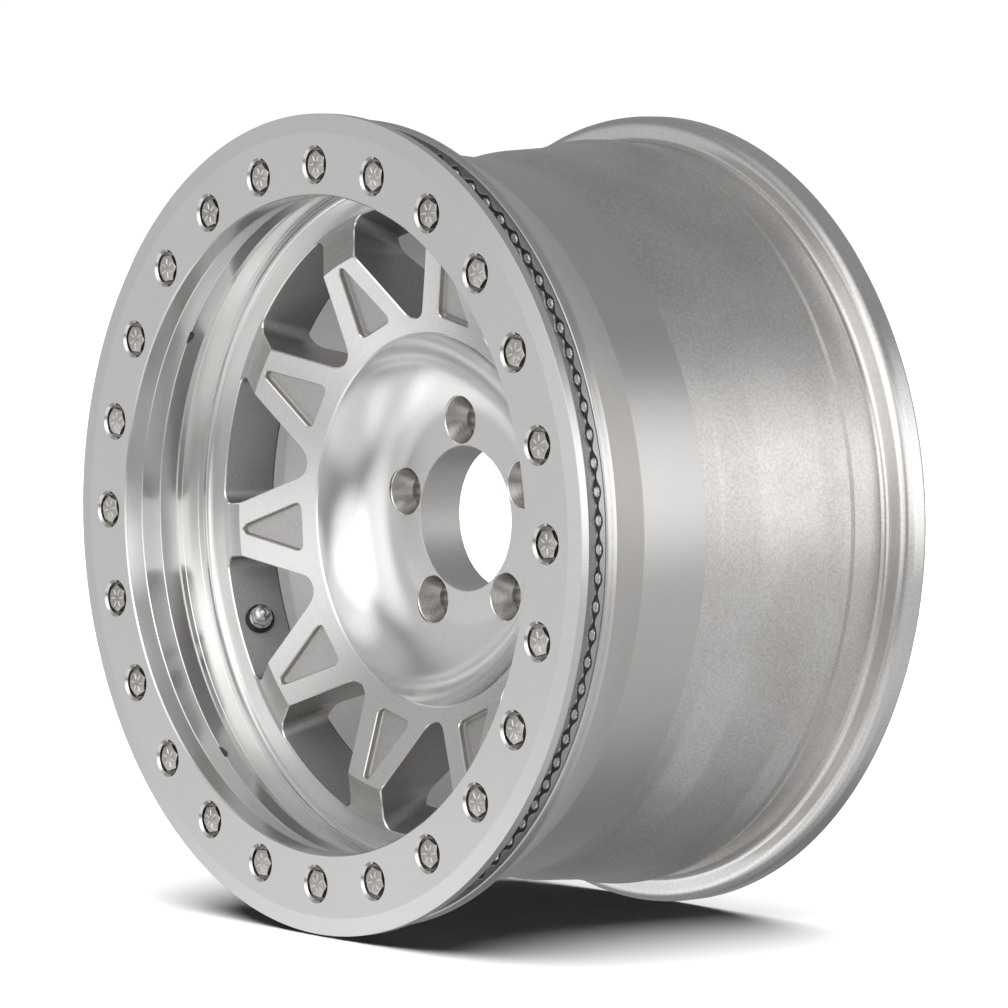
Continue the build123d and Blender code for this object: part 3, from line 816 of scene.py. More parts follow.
def arc_run(centre: Array, radius: float, first: float, last: float, count: int) -> tuple[Array, Array]:
    """Lay points on an arc.

    Args:
        centre: middle of the arc.
        radius: its radius.
        first: angle of the first point in radians.
        last: angle of the last point.
        count: number of points.

    Returns:
        Points and outward normals.
    """
    normals = circle(np.linspace(first, last, count))
    return centre + radius * normals, normals


def line_run(start: Array, end: Array, normal: Array, pieces: int) -> tuple[Array, Array]:
    """Lay points on a straight line, between its ends.

    Args:
        start: start of the line.
        end: end of the line.
        normal: its outward normal.
        pieces: how many pieces the points cut it into.

    Returns:
        Points and normals.
    """
    share = np.linspace(0, 1, pieces + 1)[1:-1, None]
    return start + (end - start) * share, np.tile(normal, (pieces - 1, 1))


def with_supports(run: Array, inset: float = 0.15, longest: float = 6.0) -> Array:
    """Add section points near both ends of each long straight, so fillets shade apart from it.

    Args:
        run: section points in order.
        inset: distance from an end to its support.
        longest: greatest distance between points on a straight.

    Returns:
        The run with the added points.
    """
    kept = [run[0]]
    for start, end in zip(run[:-1], run[1:]):
        length = float(np.linalg.norm(end - start))
        if length > 4 * inset:
            inner = np.linspace(inset, length - inset, 2 + int(length // longest))
            kept.extend(start + (end - start) * (inner / length)[:, None])
        kept.append(end)
    return np.array(kept)


def rounded_sections(corners: Sequence[tuple[float, float, float]], step: float = 6.0) -> list[Array]:
    """Split an outline with rounded corners into smooth runs.

    Each corner has a radius, a depth and a fillet radius. A corner with no fillet
    ends one run and starts the next, so that it stays a crisp edge. A fillet is
    sampled by equal angles of at most the given step.

    Args:
        corners: the outline's corners in order.
        step: largest turn between samples on a fillet, in degrees.

    Returns:
        The runs, each an array of radii and depths.
    """
    points = [np.asarray(corner[:2], float) for corner in corners]
    runs: list[Array] = []
    run: list[Array] = [points[0]]
    for before, point, after, (_, _, fillet) in zip(points, points[1:], points[2:], corners[1:]):
        if fillet <= 0:
            runs.append(np.array([*run, point]))
            run = [point]
            continue
        back, ahead = unit(before - point), unit(after - point)
        opening = math.acos(float(np.clip(back @ ahead, -1, 1)))
        reach = fillet / math.tan(opening / 2)
        centre = point + unit(back + ahead) * fillet / math.sin(opening / 2)
        ends = np.stack([point + back * reach - centre, point + ahead * reach - centre])
        sweep = math.pi - opening
        count = max(2, math.ceil(math.degrees(sweep) / step))
        share = np.linspace(0, 1, count + 1)
        weights = np.stack([np.sin((1 - share) * sweep), np.sin(share * sweep)], axis=1) / math.sin(sweep)
        run.extend(centre + weights @ ends)
    runs.append(np.array([*run, points[-1]]))
    return [with_supports(each) for each in runs]


def triangulated(
    outline: Array, holes: Sequence[Array], spacing: float, creases: Sequence[Array] = ()
) -> tuple[Array, Array]:
    """Fill a plane outline with holes by triangles of an even size.

    Lattice points at the given spacing fill the inside, apart from a margin along
    every edge, and a constrained Delaunay triangulation joins them to the edges.
    Slivers are left out.

    Args:
        outline: corners of the closed outer edge, in millimetres.
        holes: corners of each closed hole.
        spacing: distance between lattice points.
        creases: open lines that triangles must not cross.

    Returns:
        Points and triangles.
    """
    margin, sliver, tolerance = 0.45 * spacing, 0.004, 1e-5
    low, high = outline.min(axis=0), outline.max(axis=0)
    xs = np.arange(low[0], high[0], spacing)
    ys = np.arange(low[1], high[1], spacing * math.sqrt(3) / 2)
    lattice = np.stack(np.meshgrid(xs, ys, indexing="ij"), axis=-1)
    lattice[:, 1::2, 0] += spacing / 2
    lattice = lattice.reshape(-1, 2)
    lattice = lattice[inside(lattice, outline)]
    for hole in holes:
        lattice = lattice[~inside(lattice, hole)]
    fixed = np.concatenate([outline, *holes, *creases])
    if len(lattice):
        gaps = np.linalg.norm(lattice[:, None] - fixed[None], axis=2).min(axis=1)
        lattice = lattice[gaps > margin]
    edges, at = [], 0
    for line in (outline, *holes, *creases):
        chain = np.arange(len(line)) + at
        edges.append(np.stack([chain, np.roll(chain, -1)], axis=1))
        at += len(line)
    for index in range(len(edges) - len(creases), len(edges)):
        edges[index] = edges[index][:-1]
    source = np.concatenate([fixed, lattice])
    corners = [Vector(point) for point in source.tolist()]
    made = delaunay_2d_cdt(corners, np.concatenate(edges).tolist(), [], 0, tolerance, False)
    points = np.array([tuple(vertex) for vertex in made[0]])
    triangles = np.array(made[2])
    centres = points[triangles].mean(axis=1)
    keep = inside(centres, outline)
    for hole in holes:
        keep &= ~inside(centres, hole)
    triangles = triangles[keep]
    corner = points[triangles]
    area = np.cross(corner[:, 1] - corner[:, 0], corner[:, 2] - corner[:, 0])
    triangles[area < 0] = triangles[area < 0][:, ::-1]
    longest = np.linalg.norm(corner - np.roll(corner, 1, axis=1), axis=2).max(axis=1)
    return points, triangles[np.abs(area) > sliver * longest]


# Surfaces


@dataclass
class Patch:
    """A piece of surface with its own normals.

    Attributes:
        points: vertex positions in metres, one row each.
        faces: vertex numbers of the triangles or quads, one row each.
        normals: unit normals, one row for each vertex.
    """

    points: Array
    faces: Array
    normals: Array

    def shifted(self, distance: float) -> "Patch":
        """Return a copy moved along +X by millimetres."""
        return Patch(self.points + np.array([distance * MM, 0.0, 0.0]), self.faces, self.normals)

    def turned(self, angle: float) -> "Patch":
        """Return a copy carried round the wheel by an angle in degrees."""
        return Patch(spin(self.points, angle), self.faces, spin(self.normals, angle))

    def around(self, count: int, first: float = 0.0) -> list["Patch"]:
        """Return copies spaced evenly round the wheel, the first at the given angle."""
        return [self.turned(first + index * 360 / count) for index in range(count)]


def join(patches: Sequence[Patch]) -> Patch:
    """Join patches whose faces have the same number of corners.

    Args:
        patches: the patches.

    Returns:
        One patch with the faces of all.
    """
    starts = np.cumsum([0, *[len(patch.points) for patch in patches[:-1]]])
    return Patch(
        np.concatenate([patch.points for patch in patches]),
        np.concatenate([patch.faces + start for patch, start in zip(patches, starts)]),
        np.concatenate([patch.normals for patch in patches]),
    )


def grid_patch(grid: Array, closed: bool = False) -> Patch:
    """Make a quad surface from a grid of points.

    Rows run along the outline and columns across it, and the surface faces along
    the row direction crossed with the column direction. Normals are the cross
    product of the central differences both ways, so the patch shades smoothly.

    Args:
        grid: points in metres, shaped rows, columns, 3.
        closed: whether the last column joins the first.

    Returns:
        The patch.
    """
    rows, columns = grid.shape[:2]
    along = np.gradient(grid, axis=0)
    if closed:
        across = (np.roll(grid, -1, axis=1) - np.roll(grid, 1, axis=1)) / 2
    else:
        across = np.gradient(grid, axis=1)
    normals = unit(np.cross(along, across))
    number = np.arange(rows * columns).reshape(rows, columns)
    next_column = np.roll(number, -1, axis=1) if closed else number[:, 1:]
    here = number if closed else number[:, :-1]
    faces = np.stack([here[:-1], here[1:], next_column[1:], next_column[:-1]], axis=-1)
    return Patch(grid.reshape(-1, 3), faces.reshape(-1, 4), normals.reshape(-1, 3))


def revolved(section: Array, segments: int, axial: Axial, arc: tuple[float, float] = (0.0, 360.0)) -> Patch:
    """Turn a section about the spin axis.

    A section point is a radius and a depth. The face lies to the left of the
    section's direction: outwards where the depth grows, and towards the street
    where the radius grows.

    Args:
        section: radii and depths in millimetres, one row each.
        segments: how many faces go round the arc.
        axial: where depths lie.
        arc: first and last angle in degrees.

    Returns:
        The patch, with normals taken from the section.
    """
    closed = abs(arc[1] - arc[0]) >= 360.0
    angles = np.radians(np.linspace(arc[0], arc[1], segments + 1))
    around = circle(angles[:-1] if closed else angles)
    grid = spatial(section[:, None, :1] * around * MM, axial.y(section[:, 1:]))
    slope = unit(np.gradient(section, axis=0))
    normals = spatial(slope[:, None, 1:] * around, -slope[:, :1])
    patch = grid_patch(grid, closed)
    return Patch(patch.points, patch.faces, normals.reshape(-1, 3))


@dataclass
class Solid:
    """Collects patches by finish and turns them into one object."""

    name: str
    workshop: Workshop
    patches: list[tuple[Patch, Finish]] = field(default_factory=list)

    def add(self, patches: Patch | Sequence[Patch], finish: Finish) -> None:
        """Add one or more patches that share a finish."""
        listed = [patches] if isinstance(patches, Patch) else patches
        self.patches.extend((patch, finish) for patch in listed)

    def build(self) -> bpy.types.Object:
        """Write the vertices, faces, finishes and normals into a mesh object.

        Returns:
            The object, in the scene.
        """
        finishes = list(dict.fromkeys(finish for _, finish in self.patches))
        starts = np.cumsum([0, *[len(patch.points) for patch, _ in self.patches]])
        points = np.concatenate([patch.points for patch, _ in self.patches])
        normals = np.concatenate([patch.normals for patch, _ in self.patches])
        numbered = zip(self.patches, starts)
        corners = np.concatenate([(patch.faces + start).ravel() for (patch, _), start in numbered])
        counts = [len(patch.faces) for patch, _ in self.patches]
        sizes = np.repeat([patch.faces.shape[1] for patch, _ in self.patches], counts)
        slots = np.repeat([finishes.index(finish) for _, finish in self.patches], counts)
        first_corners = np.cumsum(sizes) - sizes
        mesh = bpy.data.meshes.new(self.name)
        mesh.vertices.add(len(points))
        mesh.vertices.foreach_set("co", points.astype(np.float32).ravel())
        mesh.loops.add(len(corners))
        mesh.loops.foreach_set("vertex_index", corners.astype(np.int32))
        mesh.polygons.add(len(sizes))
        mesh.polygons.foreach_set("loop_start", first_corners.astype(np.int32))
        for finish in finishes:
            mesh.materials.append(self.workshop.material(finish))
        mesh.polygons.foreach_set("material_index", slots.astype(np.int32))
        mesh.update(calc_edges=True)
        mesh.polygons.foreach_set("use_smooth", np.ones(len(sizes), bool))
        mesh.normals_split_custom_set_from_vertices(unit(normals).tolist())
        made = bpy.data.objects.new(self.name, mesh)
        bpy.context.scene.collection.objects.link(made)
        log.info("%s: %d vertices, %d faces", self.name, len(points), len(sizes))
        return made


@dataclass
class SubAssembly:
    """What every sub-assembly shares: where depths lie, and the materials."""

    axial: Axial
    workshop: Workshop

    def revolve(self, runs: Sequence[Array], segments: int) -> list[Patch]:
        """Turn each run of a section all the way round."""
        return [revolved(run, segments, self.axial) for run in runs]


# The ring


@dataclass
class BeadLockRing(SubAssembly):
    """Clamping ring with counterbored bolt seats."""

    sizes: RingSizes
    bolts: BoltSizes
    segments: int = 480
    hole_segments: int = 48
    arc_points: int = 9
    spacing: float = 6.0

    def front_sector(self) -> Patch:
        """Fill one bolt's share of the flat front, with its bolt well left open.

        Returns:
            The patch, for a bolt on +X.
        """
        s, b = self.sizes, self.bolts
        half = 180 / b.count
        arc = circle(np.radians(np.linspace(-half, half, self.arc_points)))
        outline = np.concatenate([arc * s.bevel, (arc * (s.bore + s.bore_bevel))[::-1]])
        hole = full_circle(self.hole_segments) * (s.counterbore + s.counterbore_bevel) + [b.circle, 0.0]
        points, triangles = triangulated(outline, [hole], self.spacing)
        flat = spatial(points * MM, self.axial.y(0.0))
        return Patch(flat, triangles, np.tile([0.0, -1.0, 0.0], (len(flat), 1)))

    def seat(self) -> tuple[Patch, Patch]:
        """Shape the bolt well.

        Returns:
            Its bevel, and the wall with the floor, for a bolt on +X.
        """
        s = self.sizes
        edge = (s.counterbore, s.counterbore_bevel)
        foot = (s.counterbore, s.counterbore_depth)
        bevel = straight(edge, (s.counterbore + s.counterbore_bevel, 0.0), 1)
        well = [straight(foot, edge), straight((s.bolt_hole, s.counterbore_depth), foot)]
        made = self.revolve([bevel, *well], self.hole_segments)
        return made[0].shifted(self.bolts.circle), join(made[1:]).shifted(self.bolts.circle)

    def build(self) -> bpy.types.Object:
        """Build the ring.

        Returns:
            The object.
        """
        s, b = self.sizes, self.bolts
        ring = Solid("ring_surface", self.workshop)
        bevel, well = self.seat()
        for patch, finish in ((self.front_sector(), RING_SATIN), (bevel, RING_EDGE_HIGHLIGHT), (well, SEAT_TURNED)):
            ring.add(patch.around(b.count, b.first), finish)
        outline = [
            (s.bevel, 0.0, 0),
            (s.outer, s.bevel_drop, s.bevel_corner),
            (s.outer, s.flange_back, s.rim_corner),
            (s.boss, s.flange_back, s.root_fillet),
            (s.boss, s.joint_depth, 0),
            (s.joint_inner, s.joint_depth, 0),
            (s.throat, s.throat_depth, 0),
            (s.throat + s.throat_bevel, s.throat_depth - s.throat_bevel, 0),
            (s.bore, s.bore_bevel, 0),
            (s.bore + s.bore_bevel, 0.0, 0),
        ]
        runs = self.revolve(rounded_sections(outline), self.segments)
        inner = (LIP_POLISH, RING_EDGE_HIGHLIGHT, LIP_POLISH, RING_EDGE_HIGHLIGHT)
        finishes = [RING_SATIN] * (len(runs) - len(inner)) + [*inner]
        for run, finish in zip(runs, finishes):
            ring.add(run, finish)
        return ring.build()


# The wheel


@dataclass
class SpokeFace(SubAssembly):
    """Front of the ten spokes: lifted faces, bevelled edges, window walls and pockets."""

    sizes: SpokeSizes
    lip: LipSizes
    tip_points: int = 15
    side_pieces: int = 14
    run_pieces: int = 5
    corner_points: int = 12
    window_arc_points: int = 18
    pocket_tip_points: int = 8
    pocket_side_pieces: int = 11
    pocket_corner_points: int = 10
    pocket_foot_pieces: int = 6
    arc_points: int = 25
    wall_rows: int = 7
    fillet_rows: int = 6

    def depth(self, radius: Array) -> Array:
        """Return the depth of the spoke face at a radius.

        Args:
            radius: radii in millimetres.

        Returns:
            Depths in millimetres.
        """
        s = self.sizes
        places = [s.bowl_edge, s.bend, s.facet, self.lip.edge]
        depths = [s.bowl_edge_depth, s.bend_depth, s.facet_depth, self.lip.edge_depth]
        return np.interp(radius, places, depths)

    def back_depth(self, radius: Array) -> Array:
        """Return the depth at which a window wall ends on the wheel's back.

        Args:
            radius: radii in millimetres.

        Returns:
            Depths in millimetres.
        """
        s = self.sizes
        places = [s.back_edge, s.crest, s.window_back + 1]
        return np.interp(radius, places, [s.back_edge_depth, s.crest_depth, s.window_back_depth])

    def lifted(self, plane: Array, sink: Array | float = 0.0) -> Array:
        """Raise plane points onto the spoke face and sink them by a depth."""
        return spatial(plane * MM, self.axial.y(self.depth(np.linalg.norm(plane, axis=-1)) + sink))

    def window_outline(self, outer: float) -> tuple[Array, Array]:
        """Draw one window's outline about +X.

        The outline runs from the inner tip up one side, round the outer arc and
        back down the other side. Both corners at the arc and the tip are round.

        Args:
            outer: radius of the outer arc.

        Returns:
            Points and outward normals, one row each.
        """
        s = self.sizes
        pitch = math.pi / s.count
        widest = s.half_width + s.flare * (s.bend - s.bowl_edge)
        turn = np.array([[math.cos(pitch), math.sin(pitch)], [math.sin(pitch), -math.cos(pitch)]])
        inner = turn @ [s.bowl_edge, widest]
        bend = turn @ [s.bend, s.half_width]
        far = turn @ [s.outer_run, s.outer_half_width]
        first, second = unit(bend - inner), unit(far - bend)
        side_normal = np.array([-first[1], first[0]])
        out_normal = np.array([-second[1], second[0]])
        apex = inner[0] - inner[1] * first[0] / first[1]
        opening = math.atan2(first[1], first[0])
        middle = np.array([apex + s.tip_fillet / math.sin(opening), 0.0])
        tip = arc_run(middle, s.tip_fillet, math.pi, opening + math.pi / 2, self.tip_points)
        side = line_run(tip[0][-1], bend, side_normal, self.side_pieces)
        mitre = unit(side_normal + out_normal)
        crease = (bend[None], (mitre / (mitre @ side_normal))[None])
        offset = bend - out_normal * s.crease_fillet
        ahead = offset @ second
        reach = math.sqrt(ahead**2 - offset @ offset + (outer - s.crease_fillet) ** 2) - ahead
        hub = offset + second * reach
        run = line_run(bend, hub + out_normal * s.crease_fillet, out_normal, self.run_pieces)
        out_angle, hub_angle = math.atan2(out_normal[1], out_normal[0]), math.atan2(hub[1], hub[0])
        corner = arc_run(hub, s.crease_fillet, out_angle, hub_angle, self.corner_points)
        arc = circle(np.linspace(hub_angle, 0, self.window_arc_points)[1:])
        parts = (tip, side, crease, run, corner, (outer * arc, arc))
        return tuple(mirrored(np.concatenate(rows)) for rows in zip(*parts))

    def pocket_outline(self) -> tuple[Array, Array]:
        """Draw the outline of a triangular pocket about +X.

        It runs from the round tip along one side, round the corner at the base
        and to the middle of the base. The other half is its mirror image.

        Returns:
            Points and outward normals, one row each.
        """
        s = self.sizes
        sine = unit(np.array([s.pocket_half_width, s.pocket_tip - s.pocket_base]))[0]
        sharp_tip = s.pocket_tip + s.pocket_corner * (1 / sine - 1)
        base = np.array([s.pocket_base, s.pocket_half_width + s.pocket_widening])
        side = unit(np.array([sharp_tip, 0.0]) - base)
        out = np.array([-side[1], side[0]])
        half = math.atan2(-side[1], side[0])
        lead = math.atan2(out[1], out[0])
        middle = np.array([sharp_tip - s.pocket_corner / math.sin(half), 0.0])
        base_opening = math.pi / 2 - half
        heel = base + np.array([s.pocket_corner, -s.pocket_corner / math.tan(base_opening / 2)])
        tip = arc_run(middle, s.pocket_corner, 0, lead, self.pocket_tip_points)
        corner = arc_run(heel, s.pocket_corner, lead, math.pi, self.pocket_corner_points)
        run = line_run(tip[0][-1], corner[0][0], out, self.pocket_side_pieces)
        end = corner[0][-1]
        foot = straight(end, (end[0], 0.0), self.pocket_foot_pieces)[1:]
        parts = (tip, run, corner, (foot, np.tile([-1.0, 0.0], (len(foot), 1))))
        return tuple(mirrored(np.concatenate(rows)) for rows in zip(*parts))

    def face_sector(self, window: Array, pocket: Array) -> Patch:
        """Fill one spoke's face between two windows, with its pocket left open.

        Args:
            window: bevelled outline of the window centred on +X.
            pocket: bevelled outline of the pocket of the spoke on +X.

        Returns:
            The patch, split along the bends so that each facet shades by itself.
        """
        s = self.sizes
        pitch = 180 / s.count
        half = window[: (len(window) + 2) // 2]
        lower, upper = rotated(half, -pitch), rotated(half * [1.0, -1.0], pitch)
        arc = circle(np.radians(np.linspace(-pitch, pitch, self.arc_points)))
        outline = np.concatenate(
            [arc[::-1] * (s.bowl_edge + s.bowl_bevel), lower, arc * self.lip.edge, upper[::-1]]
        )
        crease = circle(np.radians(np.linspace(-s.crease_half_angle, s.crease_half_angle, self.arc_points)))
        points, triangles = triangulated(outline, [pocket], s.spacing, [crease * s.bend, crease * s.facet])
        radius = np.linalg.norm(points[triangles].mean(axis=1), axis=1)
        patches = []
        for low, high in ((s.bowl_edge, s.bend), (s.bend, s.facet), (s.facet, self.lip.edge)):
            chosen = triangles[(radius > low) & (radius < high)]
            used, numbered = np.unique(chosen, return_inverse=True)
            plane = points[used]
            first, last = self.depth(np.array([low, high]))
            normals = unit(spatial(unit(plane) * (last - first), low - high))
            patches.append(Patch(self.lifted(plane), numbered.reshape(-1, 3), normals))
        return join(patches)

    def build(self) -> bpy.types.Object:
        """Build the spoke faces, their edges, the window walls and the pockets.

        Returns:
            The object.
        """
        s = self.sizes
        solid = Solid("spoke_surface", self.workshop)
        window, window_normals = self.window_outline(s.window_front)
        back, _ = self.window_outline(s.window_back)
        pocket, pocket_normals = self.pocket_outline()
        wide_window = window + window_normals * s.edge_bevel
        wide_pocket = pocket + pocket_normals * s.pocket_bevel
        face = self.face_sector(wide_window, wide_pocket)
        solid.add(face.around(s.count, s.first), SPOKE_SATIN)
        top = self.lifted(window, s.edge_bevel)
        bottom = spatial(back * MM, self.axial.y(self.back_depth(np.linalg.norm(back, axis=1))))
        share = np.linspace(0, 1, self.wall_rows)[:, None, None]
        turn = np.linspace(0, math.pi / 2, self.fillet_rows)
        insets = [0.0, *(s.pocket_floor_fillet * (1 - np.cos(turn)))]
        sink_to = s.pocket_depth - s.pocket_floor_fillet
        sinks = [s.pocket_bevel, *(sink_to + s.pocket_floor_fillet * np.sin(turn))]
        hollow = [self.lifted(pocket - pocket_normals * inset, sink) for inset, sink in zip(insets, sinks)]
        between = s.first + 180 / s.count
        bands = (
            ([self.lifted(wide_window), top], between, EDGE_PAINTED_HIGHLIGHT),
            (top * (1 - share) + bottom * share, between, WALL_DARK),
            ([self.lifted(wide_pocket), self.lifted(pocket, s.pocket_bevel)], s.first, EDGE_PAINTED_HIGHLIGHT),
            (hollow, s.first, POCKET_MATTE),
        )
        for rows, first, finish in bands:
            solid.add(grid_patch(np.stack(rows)[:, ::-1], True).around(s.count, first), finish)
        points, triangles = triangulated(pocket - pocket_normals * s.pocket_floor_fillet, [], s.spacing)
        normals = np.tile(unit(np.array([s.slope, -1.0, 0.0])), (len(points), 1))
        floor = Patch(self.lifted(points, s.pocket_depth), triangles, normals)
        solid.add(floor.around(s.count, s.first), POCKET_MATTE)
        return solid.build()


@dataclass
class DishedCentre(SubAssembly):
    """Polished bowl, flat hub face, lug seats and centre bore."""

    sizes: HubSizes
    spokes: SpokeSizes
    segments: int = 360
    lug_segments: int = 72
    edge_points: int = 30
    ripple_pieces: int = 40

    @property
    def bowl(self) -> float:
        """Radius of the sphere that the bowl is a part of.

        Returns:
            The radius in millimetres.
        """
        run = self.spokes.bowl_edge - self.sizes.flat
        rise = self.sizes.face_depth - self.spokes.bowl_edge_depth
        return (run**2 + rise**2) / (2 * rise)

    def depth(self, radius: Array) -> Array:
        """Return the depth of the bowl or the hub face at a radius."""
        out = np.maximum(radius - self.sizes.flat, 0.0)
        return self.sizes.face_depth - self.bowl + np.sqrt(self.bowl**2 - out**2)

    def front_sector(self) -> Patch:
        """Fill one lug's share of the bowl and the hub face, with the lug hole left open.

        The normal leans inwards by the sine of the bowl's slope, which is the way
        from the flat's edge over the sphere's radius.

        Returns:
            The patch, for a lug on +X.
        """
        h = self.sizes
        half = 180 / h.lug_count
        arc = circle(np.radians(np.linspace(-half, half, self.lug_segments + 1)))
        bore = h.bore + h.bore_bevel
        rim = self.spokes.bowl_edge - self.spokes.bowl_bevel / 2
        edge = np.linspace(bore, rim, self.edge_points)[1:-1, None]
        outline = np.concatenate([arc * rim, arc[-1] * edge[::-1], (arc * bore)[::-1], arc[0] * edge])
        hole = full_circle(self.lug_segments) * h.lug_front + [h.lug_circle, 0.0]
        points, triangles = triangulated(outline, [hole], h.spacing)
        radius = np.linalg.norm(points, axis=1)
        sine = np.maximum(radius - h.flat, 0.0) / self.bowl
        normals = spatial(unit(points) * -sine[:, None], -np.sqrt(1 - sine**2))
        return Patch(spatial(points * MM, self.axial.y(self.depth(radius))), triangles, normals)

    def lug_seat(self) -> tuple[Patch, Patch]:
        """Shape a lug hole about +X.

        The cone and the stud hole are straight sections with a fine sine ripple
        left by the tool. The wall above the edge runs up to the bowl.

        Returns:
            The turned cone with its stud hole, and the bevelled edge with its painted highlight.
        """
        h = self.sizes
        length = (h.lug_front - h.lug_hole) / math.tan(math.radians(h.lug_seat_half_angle))
        root = (h.lug_hole, h.face_depth + length)
        mouth = (h.lug_front - h.lug_bevel, h.face_depth + h.lug_bevel)
        sections = [
            straight((h.lug_hole, h.back_depth), root, self.ripple_pieces),
            straight(root, mouth, self.ripple_pieces),
        ]
        wave = np.sin(np.linspace(0.0, h.lug_rings * FULL_TURN, self.ripple_pieces + 1))
        for section in sections:
            section[:, 0] -= h.lug_ring_height * (1 + wave) / 2
        edge = straight(mouth, (h.lug_front, h.face_depth), 1)
        *turned, bright = self.revolve([*sections, edge], self.lug_segments)
        ring = full_circle(self.lug_segments)
        lip = ring * h.lug_front + [h.lug_circle, 0.0]
        top = np.minimum(self.depth(np.linalg.norm(lip, axis=1)), h.face_depth)
        levels = [spatial(lip * MM, self.axial.y(depth)) for depth in (h.face_depth, top)]
        wall = grid_patch(np.stack(levels), True)
        upright = Patch(wall.points, wall.faces, np.tile(spatial(-ring, 0.0), (2, 1)))
        return join([join(turned).shifted(h.lug_circle), upright]), bright.shifted(h.lug_circle)

    def rim_bevel(self) -> Array:
        """Return the section of the narrow bevel between the bowl and the spoke faces.

        Returns:
            Radii and depths.
        """
        s = self.spokes
        low, high = s.bowl_edge - s.bowl_bevel / 2, s.bowl_edge + s.bowl_bevel
        return straight((low, float(self.depth(low))), (high, s.bowl_edge_depth + s.slope * s.bowl_bevel), 2)

    def build(self) -> bpy.types.Object:
        """Build the centre.

        Returns:
            The object.
        """
        h = self.sizes
        solid = Solid("centre_surface", self.workshop)
        seat, edge = self.lug_seat()
        for patch, finish in ((self.front_sector(), BOWL_POLISH), (seat, LUG_TURNED), (edge, EDGE_PAINTED_HIGHLIGHT)):
            solid.add(patch.around(h.lug_count, h.lug_first), finish)
        wide = h.bore + h.bore_bevel
        back, front = (h.bore, h.back_depth - h.bore_bevel), (h.bore, h.face_depth + h.bore_bevel)
        runs = [
            straight((wide, h.back_depth), back, 1),
            straight(back, front),
            straight(front, (wide, h.face_depth), 1),
        ]
        solid.add(self.revolve(runs, self.segments), BORE_MATTE)
        solid.add(self.revolve([self.rim_bevel()], self.segments), EDGE_PAINTED_HIGHLIGHT)
        return solid.build()


@dataclass
class PolishedLip(SubAssembly):
    """Stepped lip inside the joint, with the drain slots cut into its front edge."""

    sizes: LipSizes
    ring: RingSizes
    segments: int = 480
    notch_points: int = 19
    last_pieces: int = 59
    fillet_step: float = 4.0

    def notched_band(self) -> Patch:
        """Fill the band behind the joint, laid flat by angle and depth, with half-round notches.

        Returns:
            The patch, rolled back round the wheel.
        """
        l, r = self.sizes, self.ring
        start, end = r.joint_depth, l.step_depth
        length = FULL_TURN * r.joint_inner
        half_round = l.drain * circle(np.linspace(math.pi, 0, self.notch_points))
        top = []
        at = 0.0
        for angle in sorted(l.drain_angles):
            centre = length * angle / 360
            run = np.arange(at, centre - l.drain, l.spacing)
            top.append(np.stack([run, np.full(len(run), start)], axis=1))
            top.append(half_round + [centre, start])
            at = centre + l.drain + l.drain_margin
        top.append(straight((at, start), (length, start), self.last_pieces))
        foot = straight((length, end), (0.0, end), self.segments)
        points, triangles = triangulated(np.concatenate([*top, foot]), [], l.spacing)
        around = circle(points[:, 0] / r.joint_inner)
        share = (points[:, 1] - start) / (end - start)
        radius = r.joint_inner + (l.step - r.joint_inner) * share
        made = spatial(radius[:, None] * around * MM, self.axial.y(points[:, 1]))
        return Patch(made, triangles, spatial(-around, 0.0))

    def build(self) -> bpy.types.Object:
        """Build the lip.

        Returns:
            The object.
        """
        l, r = self.sizes, self.ring
        solid = Solid("lip_surface", self.workshop)
        solid.add(self.notched_band(), LIP_POLISH)
        slope = (l.root - l.bevel) / (l.root_depth - l.bevel_depth)
        bead_foot = l.bevel + slope * (l.bead_depth - l.bevel_depth)
        outline = [
            (l.edge, l.edge_depth, 0),
            (l.floor_corner, l.floor_corner_depth, l.floor_fillet),
            (l.root - l.bead, l.root_depth + l.bead, 0),
            (l.root, l.root_depth, 0),
            (bead_foot - l.bead, l.bead_depth + l.bead, 0),
            (bead_foot, l.bead_depth, 0),
            (l.bevel, l.bevel_depth, 0),
            (l.step, l.step_depth, 0),
        ]
        finishes = (LIP_POLISH, LIP_POLISH, EDGE_PAINTED_HIGHLIGHT, LIP_POLISH, EDGE_PAINTED_HIGHLIGHT, LIP_POLISH, EDGE_PAINTED_HIGHLIGHT)
        runs = self.revolve(rounded_sections(outline, self.fillet_step), self.segments)
        for run, finish in zip(runs, finishes):
            solid.add(run, finish)
        reach = math.degrees(l.drain / r.joint_inner)
        angles = sorted(l.drain_angles)
        edge = np.array([r.joint_inner, r.joint_depth])
        section = straight(edge + [-l.bead, l.bead], edge + [l.bead / 2, -l.bead / 2], 1)
        for start, end in zip(angles, [*angles[1:], angles[0] + 360.0]):
            arc = (start + reach, end - reach)
            solid.add(revolved(section, self.segments // len(angles), self.axial, arc), EDGE_PAINTED_HIGHLIGHT)
        return solid.build()


